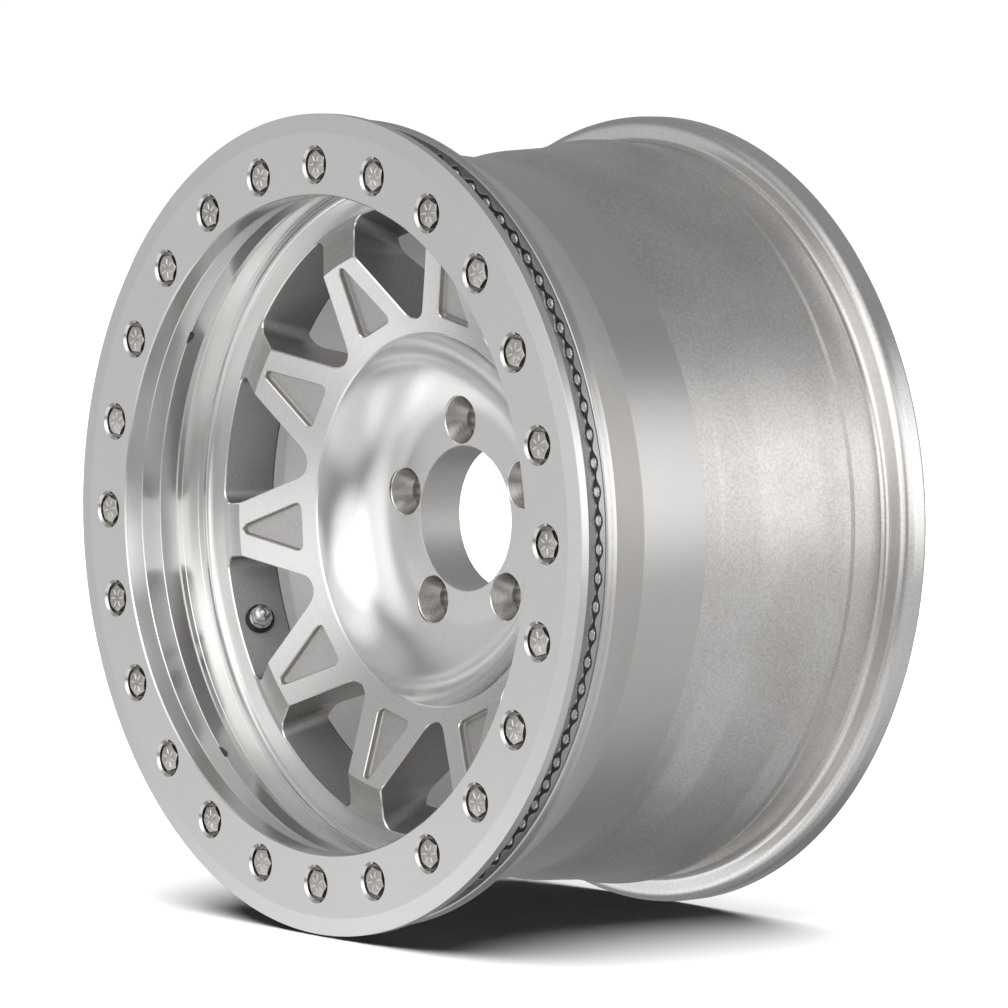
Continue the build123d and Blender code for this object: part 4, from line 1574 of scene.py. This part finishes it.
@dataclass
class BeadWall(SubAssembly):
    """Front wall under the tyre bead, with chain grooves and a fine knurl, painted shade in the grooves and
    a painted highlight on the link eyes and outside the chain.
    """

    sizes: BeadWallSizes
    ring: RingSizes
    wall_segments: int = 2160
    segments: int = 480
    knurl_rows: int = 5
    chain_rows: int = 34
    # Share of a face's corners that must lie deep for the face to get the painted shade
    groove_shade_share: float = 0.6
    # Share of a face's corners that must lie in the highlighted places for the face to get the painted
    # highlight
    highlight_share: float = 0.5
    fillet_step: float = 9.0

    def off_eye(self, radius: Array, angle: Array) -> Array:
        """Measure how far places lie from the middle of the nearest eye.

        Args:
            radius: radii in millimetres.
            angle: angles in radians.

        Returns:
            Distances in shares of the eye's half width and half length.
        """
        b = self.sizes
        pitch = FULL_TURN / b.chain_links
        off = (angle - math.radians(b.chain_first) + pitch / 2) % pitch - pitch / 2
        across = (radius - b.chain_radius) / b.eye_half_width
        return np.hypot(across, off * b.chain_radius / b.eye_half_length)

    def relief(self, radius: Array, angle: Array) -> Array:
        """Return how deep the pattern lies at places on the wall.

        The chain is a sunk band whose half width swings between the waist and the
        link as the square of a cosine. An elliptical eye in the middle of each link
        stays proud. The knurl is a ripple by angle on the inner margin.

        Args:
            radius: radii in millimetres.
            angle: angles in radians, shaped to match.

        Returns:
            Depths in millimetres.
        """
        b = self.sizes
        phase = (angle - math.radians(b.chain_first)) * b.chain_links / 2
        reach = b.chain_waist + (b.chain_half - b.chain_waist) * np.cos(phase) ** 2
        band = soft_step((reach - np.abs(radius - b.chain_radius)) / b.groove_edge + 0.5)
        eye = soft_step((1.0 - self.off_eye(radius, angle)) * b.eye_half_width / b.groove_edge + 0.5)
        fade_out = np.clip((b.knurl_outer - radius) / b.knurl_end, 0, 1)
        fade_in = np.clip((radius - b.pilot - b.knurl_end) / b.knurl_end, 0, 1)
        ripple = b.knurl_depth * (1 + np.cos(angle * b.knurl_count)) / 2
        return b.groove_depth * band * (1 - eye) + fade_out * fade_in * ripple

    def painted_highlight(self, radius: Array, angle: Array) -> Array:
        """Tell where the wall gets the painted highlight: in the eyes of the links and outside the chain."""
        b = self.sizes
        return (self.off_eye(radius, angle) < 1.0) | (radius - b.chain_radius > b.chain_waist / 2)

    def build(self) -> bpy.types.Object:
        """Build the wall.

        Returns:
            The object.
        """
        b = self.sizes
        solid = Solid("bead_wall_surface", self.workshop)
        knurl = np.linspace(b.pilot, b.knurl_outer, self.knurl_rows)
        chain = np.linspace(b.knurl_outer + b.knurl_gap, b.outer - b.corner, self.chain_rows)
        angles = np.linspace(0, FULL_TURN, self.wall_segments, endpoint=False)
        radius, angle = np.meshgrid(np.concatenate([knurl, chain]), angles, indexing="ij")
        relief = self.relief(radius, angle)
        flat = radius[..., None] * circle(angle) * MM
        wall = grid_patch(spatial(flat, self.axial.y(b.depth - b.proud + relief)), True)
        # Faces deep in the chain grooves get the painted shade
        groove_shade = (relief > b.groove_shade_below).ravel()[wall.faces].mean(axis=1) > self.groove_shade_share
        # The link eyes and the band outside the chain get the painted highlight
        painted_highlight = self.painted_highlight(radius, angle).ravel()[wall.faces].mean(axis=1)
        bright = (painted_highlight > self.highlight_share) & ~groove_shade
        for chosen, finish in ((~groove_shade & ~bright, GRIP_SATIN), (groove_shade, GROOVE_PAINTED_SHADE), (bright, GRIP_PAINTED_HIGHLIGHT)):
            solid.add(Patch(wall.points, wall.faces[chosen], wall.normals), finish)
        outline = [
            (b.outer - b.corner, b.depth, 0),
            (b.outer, b.depth, b.corner * FULL_FILLET),
            (b.outer, b.parting - b.parting_half, 0),
            (b.outer - b.parting_half, b.parting, 0),
            (b.outer, b.parting + b.parting_half, 0),
            (b.outer, b.back - b.corner, 0),
        ]
        pilot = straight((b.pilot, self.ring.joint_depth), (b.pilot, b.depth), 3)
        runs = [*rounded_sections(outline, self.fillet_step), pilot]
        # The parting line's V-groove gets the same painted shade as the chain grooves
        finishes = (BEAD_SATIN, GROOVE_PAINTED_SHADE, GROOVE_PAINTED_SHADE, BEAD_SATIN, BEAD_SATIN)
        for run, finish in zip(self.revolve(runs, self.segments), finishes):
            solid.add(run, finish)
        return solid.build()


@dataclass
class ValveLine:
    """The line of the tyre valve, square to its seat.

    Places are worked out for a valve straight above the spin axis, as radial,
    depth and sideways distances in millimetres, and turned into place at the end.
    """

    sizes: ValveSeatSizes
    axial: Axial

    def placed(self, places: Array) -> Array:
        """Turn places to the valve's angle and return points in metres.

        Args:
            places: places in millimetres, in an array of any shape with three to a place.

        Returns:
            The points in metres, shaped to match.
        """
        flat = places.reshape(-1, 3)
        moved = spatial(flat[:, ::2] * MM, self.axial.y(flat[:, 1]))
        return spin(moved, self.sizes.angle).reshape(places.shape)

    def around(self, turn: Array, reach: float, rise: Array) -> Array:
        """Lay places round the line.

        Args:
            turn: angles round the line, in radians.
            reach: distance from the line.
            rise: heights along the line, above the seat.

        Returns:
            The places.
        """
        v = self.sizes
        along, across = circle(math.radians(v.lean))
        radial = v.radius + reach * np.sin(turn) * across + rise * along
        depth = v.depth - reach * np.sin(turn) * along + rise * across
        return np.stack([radial, depth, reach * np.cos(turn)], axis=-1)

    def measured(self, points: Array) -> tuple[Array, Array]:
        """Measure how points lie to the line.

        Args:
            points: points in metres.

        Returns:
            Heights above the seat and distances from the line, in millimetres.
        """
        v = self.sizes
        line = spin(np.array([[*circle(math.radians(v.lean)), 0.0]]), v.angle)[0]
        offset = (points - self.placed(np.array([[v.radius, v.depth, 0.0]]))) / MM
        along = offset @ line
        return along, np.linalg.norm(offset - along[:, None] * line, axis=1)


@dataclass
class ValveSeat:
    """Sector of the turned cone with the counterbore for the valve's flange."""

    line: ValveLine
    cone: Array
    steps: int = 96
    closings: int = 12
    pieces_per_degree: int = 2
    wall_shares: tuple[float, ...] = (0.0, 0.1, 0.9, 1.0)

    def cone_radius(self, depth: Array) -> Array:
        """Return the radius of the turned cone at some depths."""
        return np.interp(depth, self.cone[:, 1], self.cone[:, 0])

    def rim(self) -> tuple[Array, Array]:
        """Find where the counterbore's wall meets the cone.

        Each point of the wall moves along the valve's line by its distance from
        the cone, over and over, until it lies on the cone.

        Returns:
            Angles round the valve's line, and heights above the seat.
        """
        turn = np.linspace(0, FULL_TURN, self.steps, endpoint=False)
        rise = np.zeros(self.steps)
        for _ in range(self.closings):
            place = self.line.around(turn, self.line.sizes.seat, rise)
            rise = rise + self.cone_radius(place[:, 1]) - np.hypot(place[:, 0], place[:, 2])
        return turn, rise

    def counterbore(self) -> list[Patch]:
        """Return the flat seat and the wall round it.

        Returns:
            The two patches.
        """
        v = self.line.sizes
        turn, rise = self.rim()
        seat = [self.line.around(turn, reach, 0 * rise) for reach in (v.hole, v.seat)]
        wall = [self.line.around(turn, v.seat, share * rise) for share in self.wall_shares]
        return [grid_patch(self.line.placed(np.stack(rows)), True) for rows in (seat, wall)]

    def sector_patch(self) -> Patch:
        """Shape the sector of the cone round the counterbore.

        The cone is unrolled to arc length and depth, filled with triangles up to
        the rim and rolled back. The normals are the cone's own.

        Returns:
            The patch.
        """
        v = self.line.sizes
        half = math.radians(v.sector) * v.radius
        depths = self.cone[:, 1]
        across = np.linspace(-half, half, round(2 * v.sector * self.pieces_per_degree) + 1)
        sides = (
            (across[:-1], depths[0]),
            (half, depths[:-1]),
            (across[:0:-1], depths[-1]),
            (-half, depths[:0:-1]),
        )
        outline = np.concatenate([np.stack(np.broadcast_arrays(*side), axis=1) for side in sides])
        turn, rise = self.rim()
        rim = self.line.around(turn, v.seat, rise)
        hole = np.stack([np.arctan2(rim[:, 2], rim[:, 0]) * v.radius, rim[:, 1]], axis=1)
        points, triangles = triangulated(outline, [hole], v.spacing)
        around = circle(points[:, 0] / v.radius)
        places = spatial(self.cone_radius(points[:, 1])[:, None] * around, points[:, 1])
        fall = (self.cone[0, 0] - self.cone[-1, 0]) / (self.cone[-1, 1] - self.cone[0, 1])
        normals = spin(unit(spatial(around, fall)), v.angle)
        return Patch(self.line.placed(places), triangles[:, ::-1], normals)


@dataclass
class Barrel(SubAssembly):
    """Outside of the barrel: turned front, raw forging behind it and the rolled rear lip."""

    sizes: BarrelSizes
    bead: BeadWallSizes
    valve: ValveLine
    segments: int = 720
    raw_step: float = 1.5
    lip_step: float = 3.0

    def beside_valve(self, run: Array) -> Patch:
        """Turn a run of the section, leaving out the sector with the valve.

        Args:
            run: section points in order.

        Returns:
            The patch.
        """
        v = self.valve.sizes
        arc = (v.angle + v.sector - 360.0, v.angle - v.sector)
        return revolved(run, round(self.segments * (arc[1] - arc[0]) / 360.0), self.axial, arc)

    def inner_end(self) -> tuple[float, float]:
        """Find where the mouth's cone meets the blend into the inner barrel.

        Returns:
            Its radius and depth.
        """
        b = self.sizes
        corner = np.array([b.taper, b.taper_depth])
        mouth = unit(np.array([b.mouth, b.width]) - corner)
        run = unit(np.array([b.inner_run, b.run_depth]) - corner)
        opening = math.acos(float(mouth @ run))
        return tuple(corner + mouth * b.inner_blend / math.tan(opening / 2))

    def build(self) -> bpy.types.Object:
        """Build the barrel's outside.

        Returns:
            The object.
        """
        b, front = self.sizes, self.bead
        solid = Solid("barrel_outside", self.workshop)
        crease = (b.crease + b.crease_half, b.crease_depth - b.crease_half, 0)
        cone_start = (b.crease, b.crease_depth + b.crease_half, 0)
        cone_end = (b.machined_end, b.machined_depth, 0)
        forged_start = (b.machined_end - b.step, b.machined_depth + b.step, 0)
        seat_end = (b.seat, b.wall_depth - b.seat_room, 0)
        flare = [
            (front.outer, front.back - front.corner, 0),
            (front.outer, front.back, front.corner * FULL_FILLET),
            crease,
        ]
        raw = [
            forged_start,
            (b.well, b.well_end_depth, b.blend),
            (b.shoulder, b.shoulder_depth, b.blend),
            (b.run, b.run_depth, b.blend),
            (b.seat + b.hump_height, b.hump_start, b.hump_height),
            (b.seat + b.hump_height, b.hump_end, b.hump_height),
            (b.seat, b.hump_foot, b.hump_height),
            seat_end,
        ]
        lip = [
            seat_end,
            (b.seat, b.wall_depth, b.seat_fillet),
            (b.lip, b.wall_depth + b.wall_lean, b.lip_curl),
            (b.lip, b.width, b.lip_edge),
            (b.mouth, b.width, b.mouth_fillet),
            (*self.inner_end(), 0),
        ]
        cone = rounded_sections([cone_start, cone_end])[0]
        seat = ValveSeat(self.valve, cone)
        step = np.array([cone_end[:2], forged_start[:2]])
        for patches, finish in (
            (self.revolve(rounded_sections(flare), self.segments), FLARE_SATIN),
            (self.revolve(rounded_sections([crease, cone_start]), self.segments), EDGE_PAINTED_HIGHLIGHT),
            ([self.beside_valve(cone), seat.sector_patch()], BARREL_SATIN),
            (seat.counterbore(), SEAT_TURNED),
            (self.revolve([step, *rounded_sections(raw, self.raw_step)], self.segments), BARREL_FORGED),
            (self.revolve(rounded_sections(lip, self.lip_step), self.segments), REAR_LIP),
        ):
            solid.add(patches, finish)
        return solid.build()


# Copies of CAD nodes


@dataclass
class CadCopies(SubAssembly):
    """Smooth-shaded copies of CAD nodes that stand for them in the picture."""

    nodes: dict[str, bpy.types.Object]
    rear: RearSizes
    merge_distance: float = 1e-6
    rear_smooth: float = 16.0

    def copy(self, node: str, finish: Finish, smooth: float, name: str | None = None) -> bpy.types.Object:
        """Copy a node, merge its loose triangles and mark edges sharper than an angle.

        Args:
            node: name of the CAD node.
            finish: finish of the copy.
            smooth: largest angle in degrees that still shades smoothly.
            name: name of the copy, the node's own by default.

        Returns:
            The copy, not yet tied to a body.
        """
        mesh = self.nodes[node].data.copy()
        made = bpy.data.objects.new(name or f"{node}_surface", mesh)
        bpy.context.scene.collection.objects.link(made)
        work = bmesh.new()
        work.from_mesh(mesh)
        bmesh.ops.remove_doubles(work, verts=work.verts, dist=self.merge_distance)
        work.to_mesh(mesh)
        work.free()
        mesh.materials.clear()
        mesh.materials.append(self.workshop.material(finish))
        mesh.polygons.foreach_set("material_index", np.zeros(len(mesh.polygons), np.int32))
        mesh.polygons.foreach_set("use_smooth", np.ones(len(mesh.polygons), bool))
        mesh.set_sharp_from_angle(angle=math.radians(smooth))
        return made

    def wheel_rear(
        self, lip: LipSizes, bead: BeadWallSizes, machined: float, valve: ValveLine
    ) -> bpy.types.Object:
        """Copy the parts of the wheel that no other surface replaces: joint, back and inner barrel.

        A face is dropped where another surface stands for it, by its radius, its
        depth, its place beside the valve's line and the way it faces.

        Args:
            lip: sizes of the polished lip.
            bead: sizes of the bead wall.
            machined: depth at which the turned cone ends.
            valve: the valve's line.

        Returns:
            The copy.
        """
        r = self.rear
        made = self.copy("wheel", BARREL_FORGED, self.rear_smooth, "wheel_inside")
        mesh = made.data
        centre, normal = np.empty((2, len(mesh.polygons), 3))
        mesh.polygons.foreach_get("center", centre.ravel())
        mesh.polygons.foreach_get("normal", normal.ravel())
        radius = np.hypot(centre[:, 0], centre[:, 2]) / MM
        depth = centre[:, 1] / MM + self.axial.face_to_hub
        facing = (normal[:, 0] * centre[:, 0] + normal[:, 2] * centre[:, 2]) / (radius * MM)
        behind = (normal[:, 1] > r.back_share) & (depth > r.back_depth)
        slot = (depth > r.slot_start) & (depth < r.slot_end) & (radius > r.slot_radius)
        before_hub = depth < self.axial.face_to_hub + r.hub_margin
        front = (radius < lip.root + r.front_margin) & ~behind & ~slot & before_hub
        joint = (depth < r.joint_depth) & (facing < r.joint_share)
        outside = (facing > r.outward_share) & (radius > lip.root + r.outside_margin) & ~slot
        rear = (depth > bead.back - bead.corner) & (radius > r.shell_radius)
        shell = rear & (outside | (depth > r.lip_depth))
        along, away = valve.measured(centre)
        seat = (along > -r.seat_margin) & (away < valve.sizes.seat + r.seat_margin)
        beyond = away > valve.sizes.hole + r.hole_margin
        drop = front | joint | (beyond & (shell | seat))
        slots = np.select([outside & (depth < machined), outside], [2, 0], 1)
        for finish in (BORE_MATTE, BARREL_SATIN):
            mesh.materials.append(self.workshop.material(finish))
        mesh.polygons.foreach_set("material_index", slots.astype(np.int32))
        work = bmesh.new()
        work.from_mesh(mesh)
        work.faces.ensure_lookup_table()
        dropped = [work.faces[number] for number in np.nonzero(drop)[0].tolist()]
        bmesh.ops.delete(work, geom=dropped, context="FACES")
        work.to_mesh(mesh)
        work.free()
        return made


@dataclass
class BoltMarks(SubAssembly):
    """Raised radial grade marks on the bolt heads, in a near-white steel that paints a highlight on them."""

    bolts: BoltSizes
    arc_points: int = 7

    def mark(self) -> Patch:
        """Shape one raised bar along +X from the bolt's middle, half round across.

        Returns:
            The patch.
        """
        b = self.bolts
        share = np.linspace(-1.0, 1.0, self.arc_points)
        along = [b.mark_inner, b.mark_inner + b.mark_end, b.mark_outer - b.mark_end, b.mark_outer]
        height = np.outer([0.0, 1.0, 1.0, 0.0], b.mark_height * np.sqrt(1 - share**2))
        plane = np.stack(np.meshgrid(along, share * b.mark_width / 2, indexing="ij"), axis=-1)
        return grid_patch(spatial(plane * MM, self.axial.y(b.top_depth - height)))

    def build(self) -> bpy.types.Object:
        """Build the marks of every bolt head.

        Returns:
            The object.
        """
        b = self.bolts
        solid = Solid("bolt_marks", self.workshop)
        marks = join(self.mark().around(b.marks, b.mark_first))
        for index in range(b.count):
            head = marks.turned((index * b.turn_step) % b.hex_repeat).shifted(b.circle)
            # The marks carry the painted highlight
            solid.add(head.turned(b.first + index * 360 / b.count), MARK_PAINTED_HIGHLIGHT)
        return solid.build()


# Studio


@dataclass(frozen=True)
class Panel:
    """One rectangular light.

    Attributes:
        name: its name.
        place: centre, in metres.
        aim: the point that it faces.
        size: width and height in metres.
        glow: brightness of its face.
    """

    name: str
    place: tuple[float, float, float]
    aim: tuple[float, float, float]
    size: tuple[float, float]
    glow: float

    @property
    def power(self) -> float:
        """Watts that give the panel its brightness."""
        return self.glow * math.pi * self.size[0] * self.size[1]


@dataclass(frozen=True)
class Lobe:
    """A soft bright or dark region of the surround.

    Attributes:
        azimuth: direction of its middle from +X towards +Y, in degrees.
        height: direction of its middle above the horizon, in degrees.
        core: half angle in degrees over which it keeps its full strength.
        reach: half angle in degrees at which it has faded out.
        strength: brightness added, negative for a dark region.
    """

    azimuth: float
    height: float
    core: float
    reach: float
    strength: float

    @property
    def towards(self) -> Vector:
        """Unit vector to its middle."""
        turn, rise = math.radians(self.azimuth), math.radians(self.height)
        return Vector((math.cos(rise) * math.cos(turn), math.cos(rise) * math.sin(turn), math.sin(rise)))


class Studio:
    """Pale floor, soft light and the camera."""

    FLOOR_Z = -0.2339
    FLOOR_HALF = 30.0
    FLOOR_COLOUR = (0.97, 0.97, 0.97, 1.0)
    FLOOR_ROUGHNESS = 0.8
    FLOOR_SHEEN = 0.1
    BACKDROP_GLOW = 1.05
    BACKDROP_COLOUR = (1.0, 1.0, 1.0, 1.0)
    SHADE_COLOUR = (0.8, 0.8, 0.8, 1.0)
    BASE_GLOW = 0.37
    AMBIENT_GLOW = 0.03
    OVERHEAD_GLOW = 6.0
    OVERHEAD_ANGLE = 80.0
    OVERHEAD_FROM = (0.12, -0.10, 1.0)
    SIDE_STRIP = Panel("side_strip", place=(2.6, 2.0, 0.25), aim=(0.0, 0.0, 0.0), size=(0.8, 1.9), glow=0.30)
    CAMERA_PLACE = (2.28460, -1.86951, 0.18048)
    CAMERA_AXES = ((0.63314, 0.77404, 0.0), (-0.04535, 0.03710, 0.99828), (0.77271, -0.63205, 0.05859))
    CAMERA_LENS = 181.07
    CAMERA_SENSOR = 36.0
    CAMERA_RANGE = (0.1, 200.0)
    LOBES = (
        Lobe(azimuth=-12.0, height=14.0, core=5.0, reach=26.0, strength=1.05),
        Lobe(azimuth=18.0, height=14.0, core=5.0, reach=26.0, strength=1.00),
        Lobe(azimuth=46.0, height=12.0, core=5.0, reach=26.0, strength=0.95),
        Lobe(azimuth=16.0, height=-33.0, core=22.0, reach=62.0, strength=0.34),
        Lobe(azimuth=-141.0, height=-4.0, core=12.0, reach=48.0, strength=0.34),
        Lobe(azimuth=-142.0, height=-25.0, core=8.0, reach=23.0, strength=0.55),
        Lobe(azimuth=-68.0, height=13.0, core=12.0, reach=31.0, strength=1.10),
        Lobe(azimuth=-99.0, height=6.0, core=8.0, reach=28.0, strength=0.90),
        Lobe(azimuth=-58.0, height=38.0, core=10.0, reach=33.0, strength=0.75),
        Lobe(azimuth=-68.0, height=-48.0, core=12.0, reach=34.0, strength=0.50),
        Lobe(azimuth=-112.0, height=-38.0, core=8.0, reach=28.0, strength=0.50),
        Lobe(azimuth=-95.0, height=56.0, core=8.0, reach=30.0, strength=0.25),
        Lobe(azimuth=90.0, height=-3.0, core=10.0, reach=45.0, strength=0.20),
        Lobe(azimuth=112.0, height=-56.0, core=6.0, reach=32.0, strength=-0.10),
    )

    def placed(self, name: str, data: bpy.types.ID) -> bpy.types.Object:
        """Put a mesh, a light or a camera into the scene.

        Args:
            name: name of the object.
            data: what it holds.

        Returns:
            The object.
        """
        made = bpy.data.objects.new(name, data)
        bpy.context.scene.collection.objects.link(made)
        return made

    def overhead(self) -> None:
        """Light the floor from above and a little in front, so that the shadow lies under the wheel."""
        data = bpy.data.lights.new("overhead", "SUN")
        data.energy = self.OVERHEAD_GLOW
        data.angle = math.radians(self.OVERHEAD_ANGLE)
        made = self.placed("overhead", data)
        made.rotation_euler = Vector(self.OVERHEAD_FROM).to_track_quat("Z", "Y").to_euler()
        made.visible_glossy = False

    def light(self, panel: Panel) -> None:
        """Add an area light.

        Args:
            panel: the light.
        """
        data = bpy.data.lights.new(panel.name, "AREA")
        data.shape = "RECTANGLE"
        data.size, data.size_y = panel.size
        data.energy = panel.power
        made = self.placed(panel.name, data)
        place, aim = Vector(panel.place), Vector(panel.aim)
        turn = (place - aim).to_track_quat("Z", "Y").to_matrix().to_4x4()
        made.matrix_world = Matrix.Translation(place) @ turn

    def floor(self) -> bpy.types.Object:
        """Add the pale floor, which polished surfaces do not mirror.

        Returns:
            The floor.
        """
        w, z = self.FLOOR_HALF, self.FLOOR_Z
        mesh = bpy.data.meshes.new("floor")
        mesh.from_pydata([(-w, -w, z), (w, -w, z), (w, w, z), (-w, w, z)], [], [(0, 1, 2, 3)])
        made = self.placed("floor", mesh)
        material = bpy.data.materials.new("floor")
        material.use_nodes = True
        surface = material.node_tree.nodes["Principled BSDF"].inputs
        surface["Base Color"].default_value = self.FLOOR_COLOUR
        surface["Roughness"].default_value = self.FLOOR_ROUGHNESS
        surface["Specular IOR Level"].default_value = self.FLOOR_SHEEN
        mesh.materials.append(material)
        made.visible_glossy = False
        return made

    def surround(self) -> None:
        """Set the surround: white behind the wheel, shaded regions in its reflections.

        A region's brightness falls smoothly with the angle between a direction and
        the region's middle, and the regions add up. A ray that was scattered by a
        matte surface sees an even, dim surround.
        """
        world = bpy.data.worlds.new("surround")
        world.use_nodes = True
        world.node_tree.nodes.clear()
        nodes = Nodes(world.node_tree)
        coords = nodes.add("ShaderNodeTexCoord").outputs["Generated"]
        total: object = self.BASE_GLOW
        for lobe in self.LOBES:
            dot = nodes.add("ShaderNodeVectorMath", operation="DOT_PRODUCT")
            nodes.feed(dot.inputs[0], coords)
            nodes.feed(dot.inputs[1], lobe.towards)
            low, high = (math.cos(math.radians(angle)) for angle in (lobe.reach, lobe.core))
            spread = nodes.ramp(dot.outputs["Value"], low, high, lobe.strength, "SMOOTHSTEP")
            total = nodes.math("ADD", total, spread)
        ray = nodes.add("ShaderNodeLightPath").outputs
        unscattered = nodes.math("SUBTRACT", ray["Is Glossy Ray"], ray["Diffuse Depth"], clamp=True)
        even = nodes.background(self.AMBIENT_GLOW, self.SHADE_COLOUR)
        shaded = nodes.background(total, self.SHADE_COLOUR)
        white = nodes.background(self.BACKDROP_GLOW, self.BACKDROP_COLOUR)
        by_view = nodes.mix(ray["Is Camera Ray"], nodes.mix(unscattered, even, shaded), white)
        nodes.feed(nodes.add("ShaderNodeOutputWorld").inputs["Surface"], by_view)
        bpy.context.scene.world = world

    def camera(self) -> None:
        """Set the camera where the photograph was taken from."""
        data = bpy.data.cameras.new("camera")
        data.sensor_width = self.CAMERA_SENSOR
        data.lens = self.CAMERA_LENS
        data.clip_start, data.clip_end = self.CAMERA_RANGE
        made = self.placed("camera", data)
        turn = Matrix(self.CAMERA_AXES).transposed().to_4x4()
        made.matrix_world = Matrix.Translation(self.CAMERA_PLACE) @ turn
        bpy.context.scene.camera = made

    def build(self) -> None:
        """Build the studio."""
        self.floor()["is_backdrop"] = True
        self.light(self.SIDE_STRIP)
        self.overhead()
        self.surround()
        self.camera()
        bpy.context.scene.view_settings.view_transform = "Standard"


# The whole object


class OffRoadWheel:
    """Everything that stands for the wheel in the picture."""

    BODY = "wheel_body"
    MOVING = "valve_pin"
    BOLT_SMOOTH = 20.0
    OTHER_SMOOTH = 25.0
    OTHERS = {
        "ring_washers": (BOLT_STEEL, "bolt_steel"),
        "thread_inserts": (INSERT_STEEL, "insert_steel"),
        "valve_stem": (VALVE_BRIGHT, "valve_metal"),
        "valve_outer_seal": (SEAL_RUBBER, "seal_rubber"),
        "valve_inner_seal": (SEAL_RUBBER, "seal_rubber"),
        "valve_washer": (VALVE_BRIGHT, "valve_metal"),
        "valve_nut": (VALVE_NUT, "valve_metal"),
        "valve_cap": (VALVE_BRIGHT, "valve_metal"),
        "cap_seal": (SEAL_RUBBER, "seal_rubber"),
        "core_body": (CORE_BRASS, "core_brass"),
        "core_pin": (CORE_BRASS, "core_brass"),
        "core_spring": (INSERT_STEEL, "insert_steel"),
        "core_seal": (SEAL_RUBBER, "seal_rubber"),
    }
    ON_PIN = ("core_pin", "core_seal")

    def __init__(self, frame: dict) -> None:
        """Keep the frame and the sizes of every sub-assembly.
        """
        axial = Axial()
        self.common = (axial, Workshop())
        self.copies = CadCopies(*self.common, frame["nodes"], RearSizes())
        self.valve = ValveLine(ValveSeatSizes(), axial)
        self.ring, self.bolts = RingSizes(), BoltSizes()
        self.bead, self.barrel, self.lip = BeadWallSizes(), BarrelSizes(), LipSizes()
        self.spokes, self.hub = SpokeSizes(), HubSizes()

    def tie(self, made: bpy.types.Object, slot: str, body: str, *replaced: str) -> None:
        """Tie a piece to its body, hide the CAD nodes that it stands for and log its slot.

        Args:
            made: the piece.
            slot: name of its slot.
            body: name of its body.
            replaced: names of the CAD nodes, if any.
        """
        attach(made, body)
        if replaced:
            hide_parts(*replaced)
        log.info("%s: body %s, slot %s", made.name, body, slot)

    def build(self) -> None:
        """Build every piece."""
        for piece in (
            SpokeFace(*self.common, self.spokes, self.lip).build(),
            DishedCentre(*self.common, self.hub, self.spokes).build(),
            PolishedLip(*self.common, self.lip, self.ring).build(),
            BeadWall(*self.common, self.bead, self.ring).build(),
            Barrel(*self.common, self.barrel, self.bead, self.valve).build(),
            self.copies.wheel_rear(self.lip, self.bead, self.barrel.machined_depth, self.valve),
        ):
            self.tie(piece, "forged_aluminium", self.BODY, "wheel")
        ring = BeadLockRing(*self.common, self.ring, self.bolts).build()
        self.tie(ring, "ring_aluminium", self.BODY, "beadlock_ring")
        for index in range(1, self.bolts.count + 1):
            node = f"ring_bolt_{index:02d}"
            bolt = self.copies.copy(node, BOLT_STEEL, self.BOLT_SMOOTH)
            self.tie(bolt, "bolt_steel", self.BODY, node)
        self.tie(BoltMarks(*self.common, self.bolts).build(), "bolt_steel", self.BODY)
        for node, (finish, slot) in self.OTHERS.items():
            body = self.MOVING if node in self.ON_PIN else self.BODY
            self.tie(self.copies.copy(node, finish, self.OTHER_SMOOTH), slot, body, node)


def listed(bounds: tuple[Vector, Vector]) -> list[list[float]]:
    """Return two corners as plain lists."""
    return [[float(value) for value in corner] for corner in bounds]


def main() -> None:
    """Build the scene."""
    logging.basicConfig(level=logging.INFO, format="%(name)s: %(message)s")
    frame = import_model()
    before = listed(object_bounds())
    OffRoadWheel(frame).build()
    Studio().build()
    bpy.context.view_layer.update()
    {"frame": before, "visual": listed(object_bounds())}


if __name__ == "__main__":
    main()
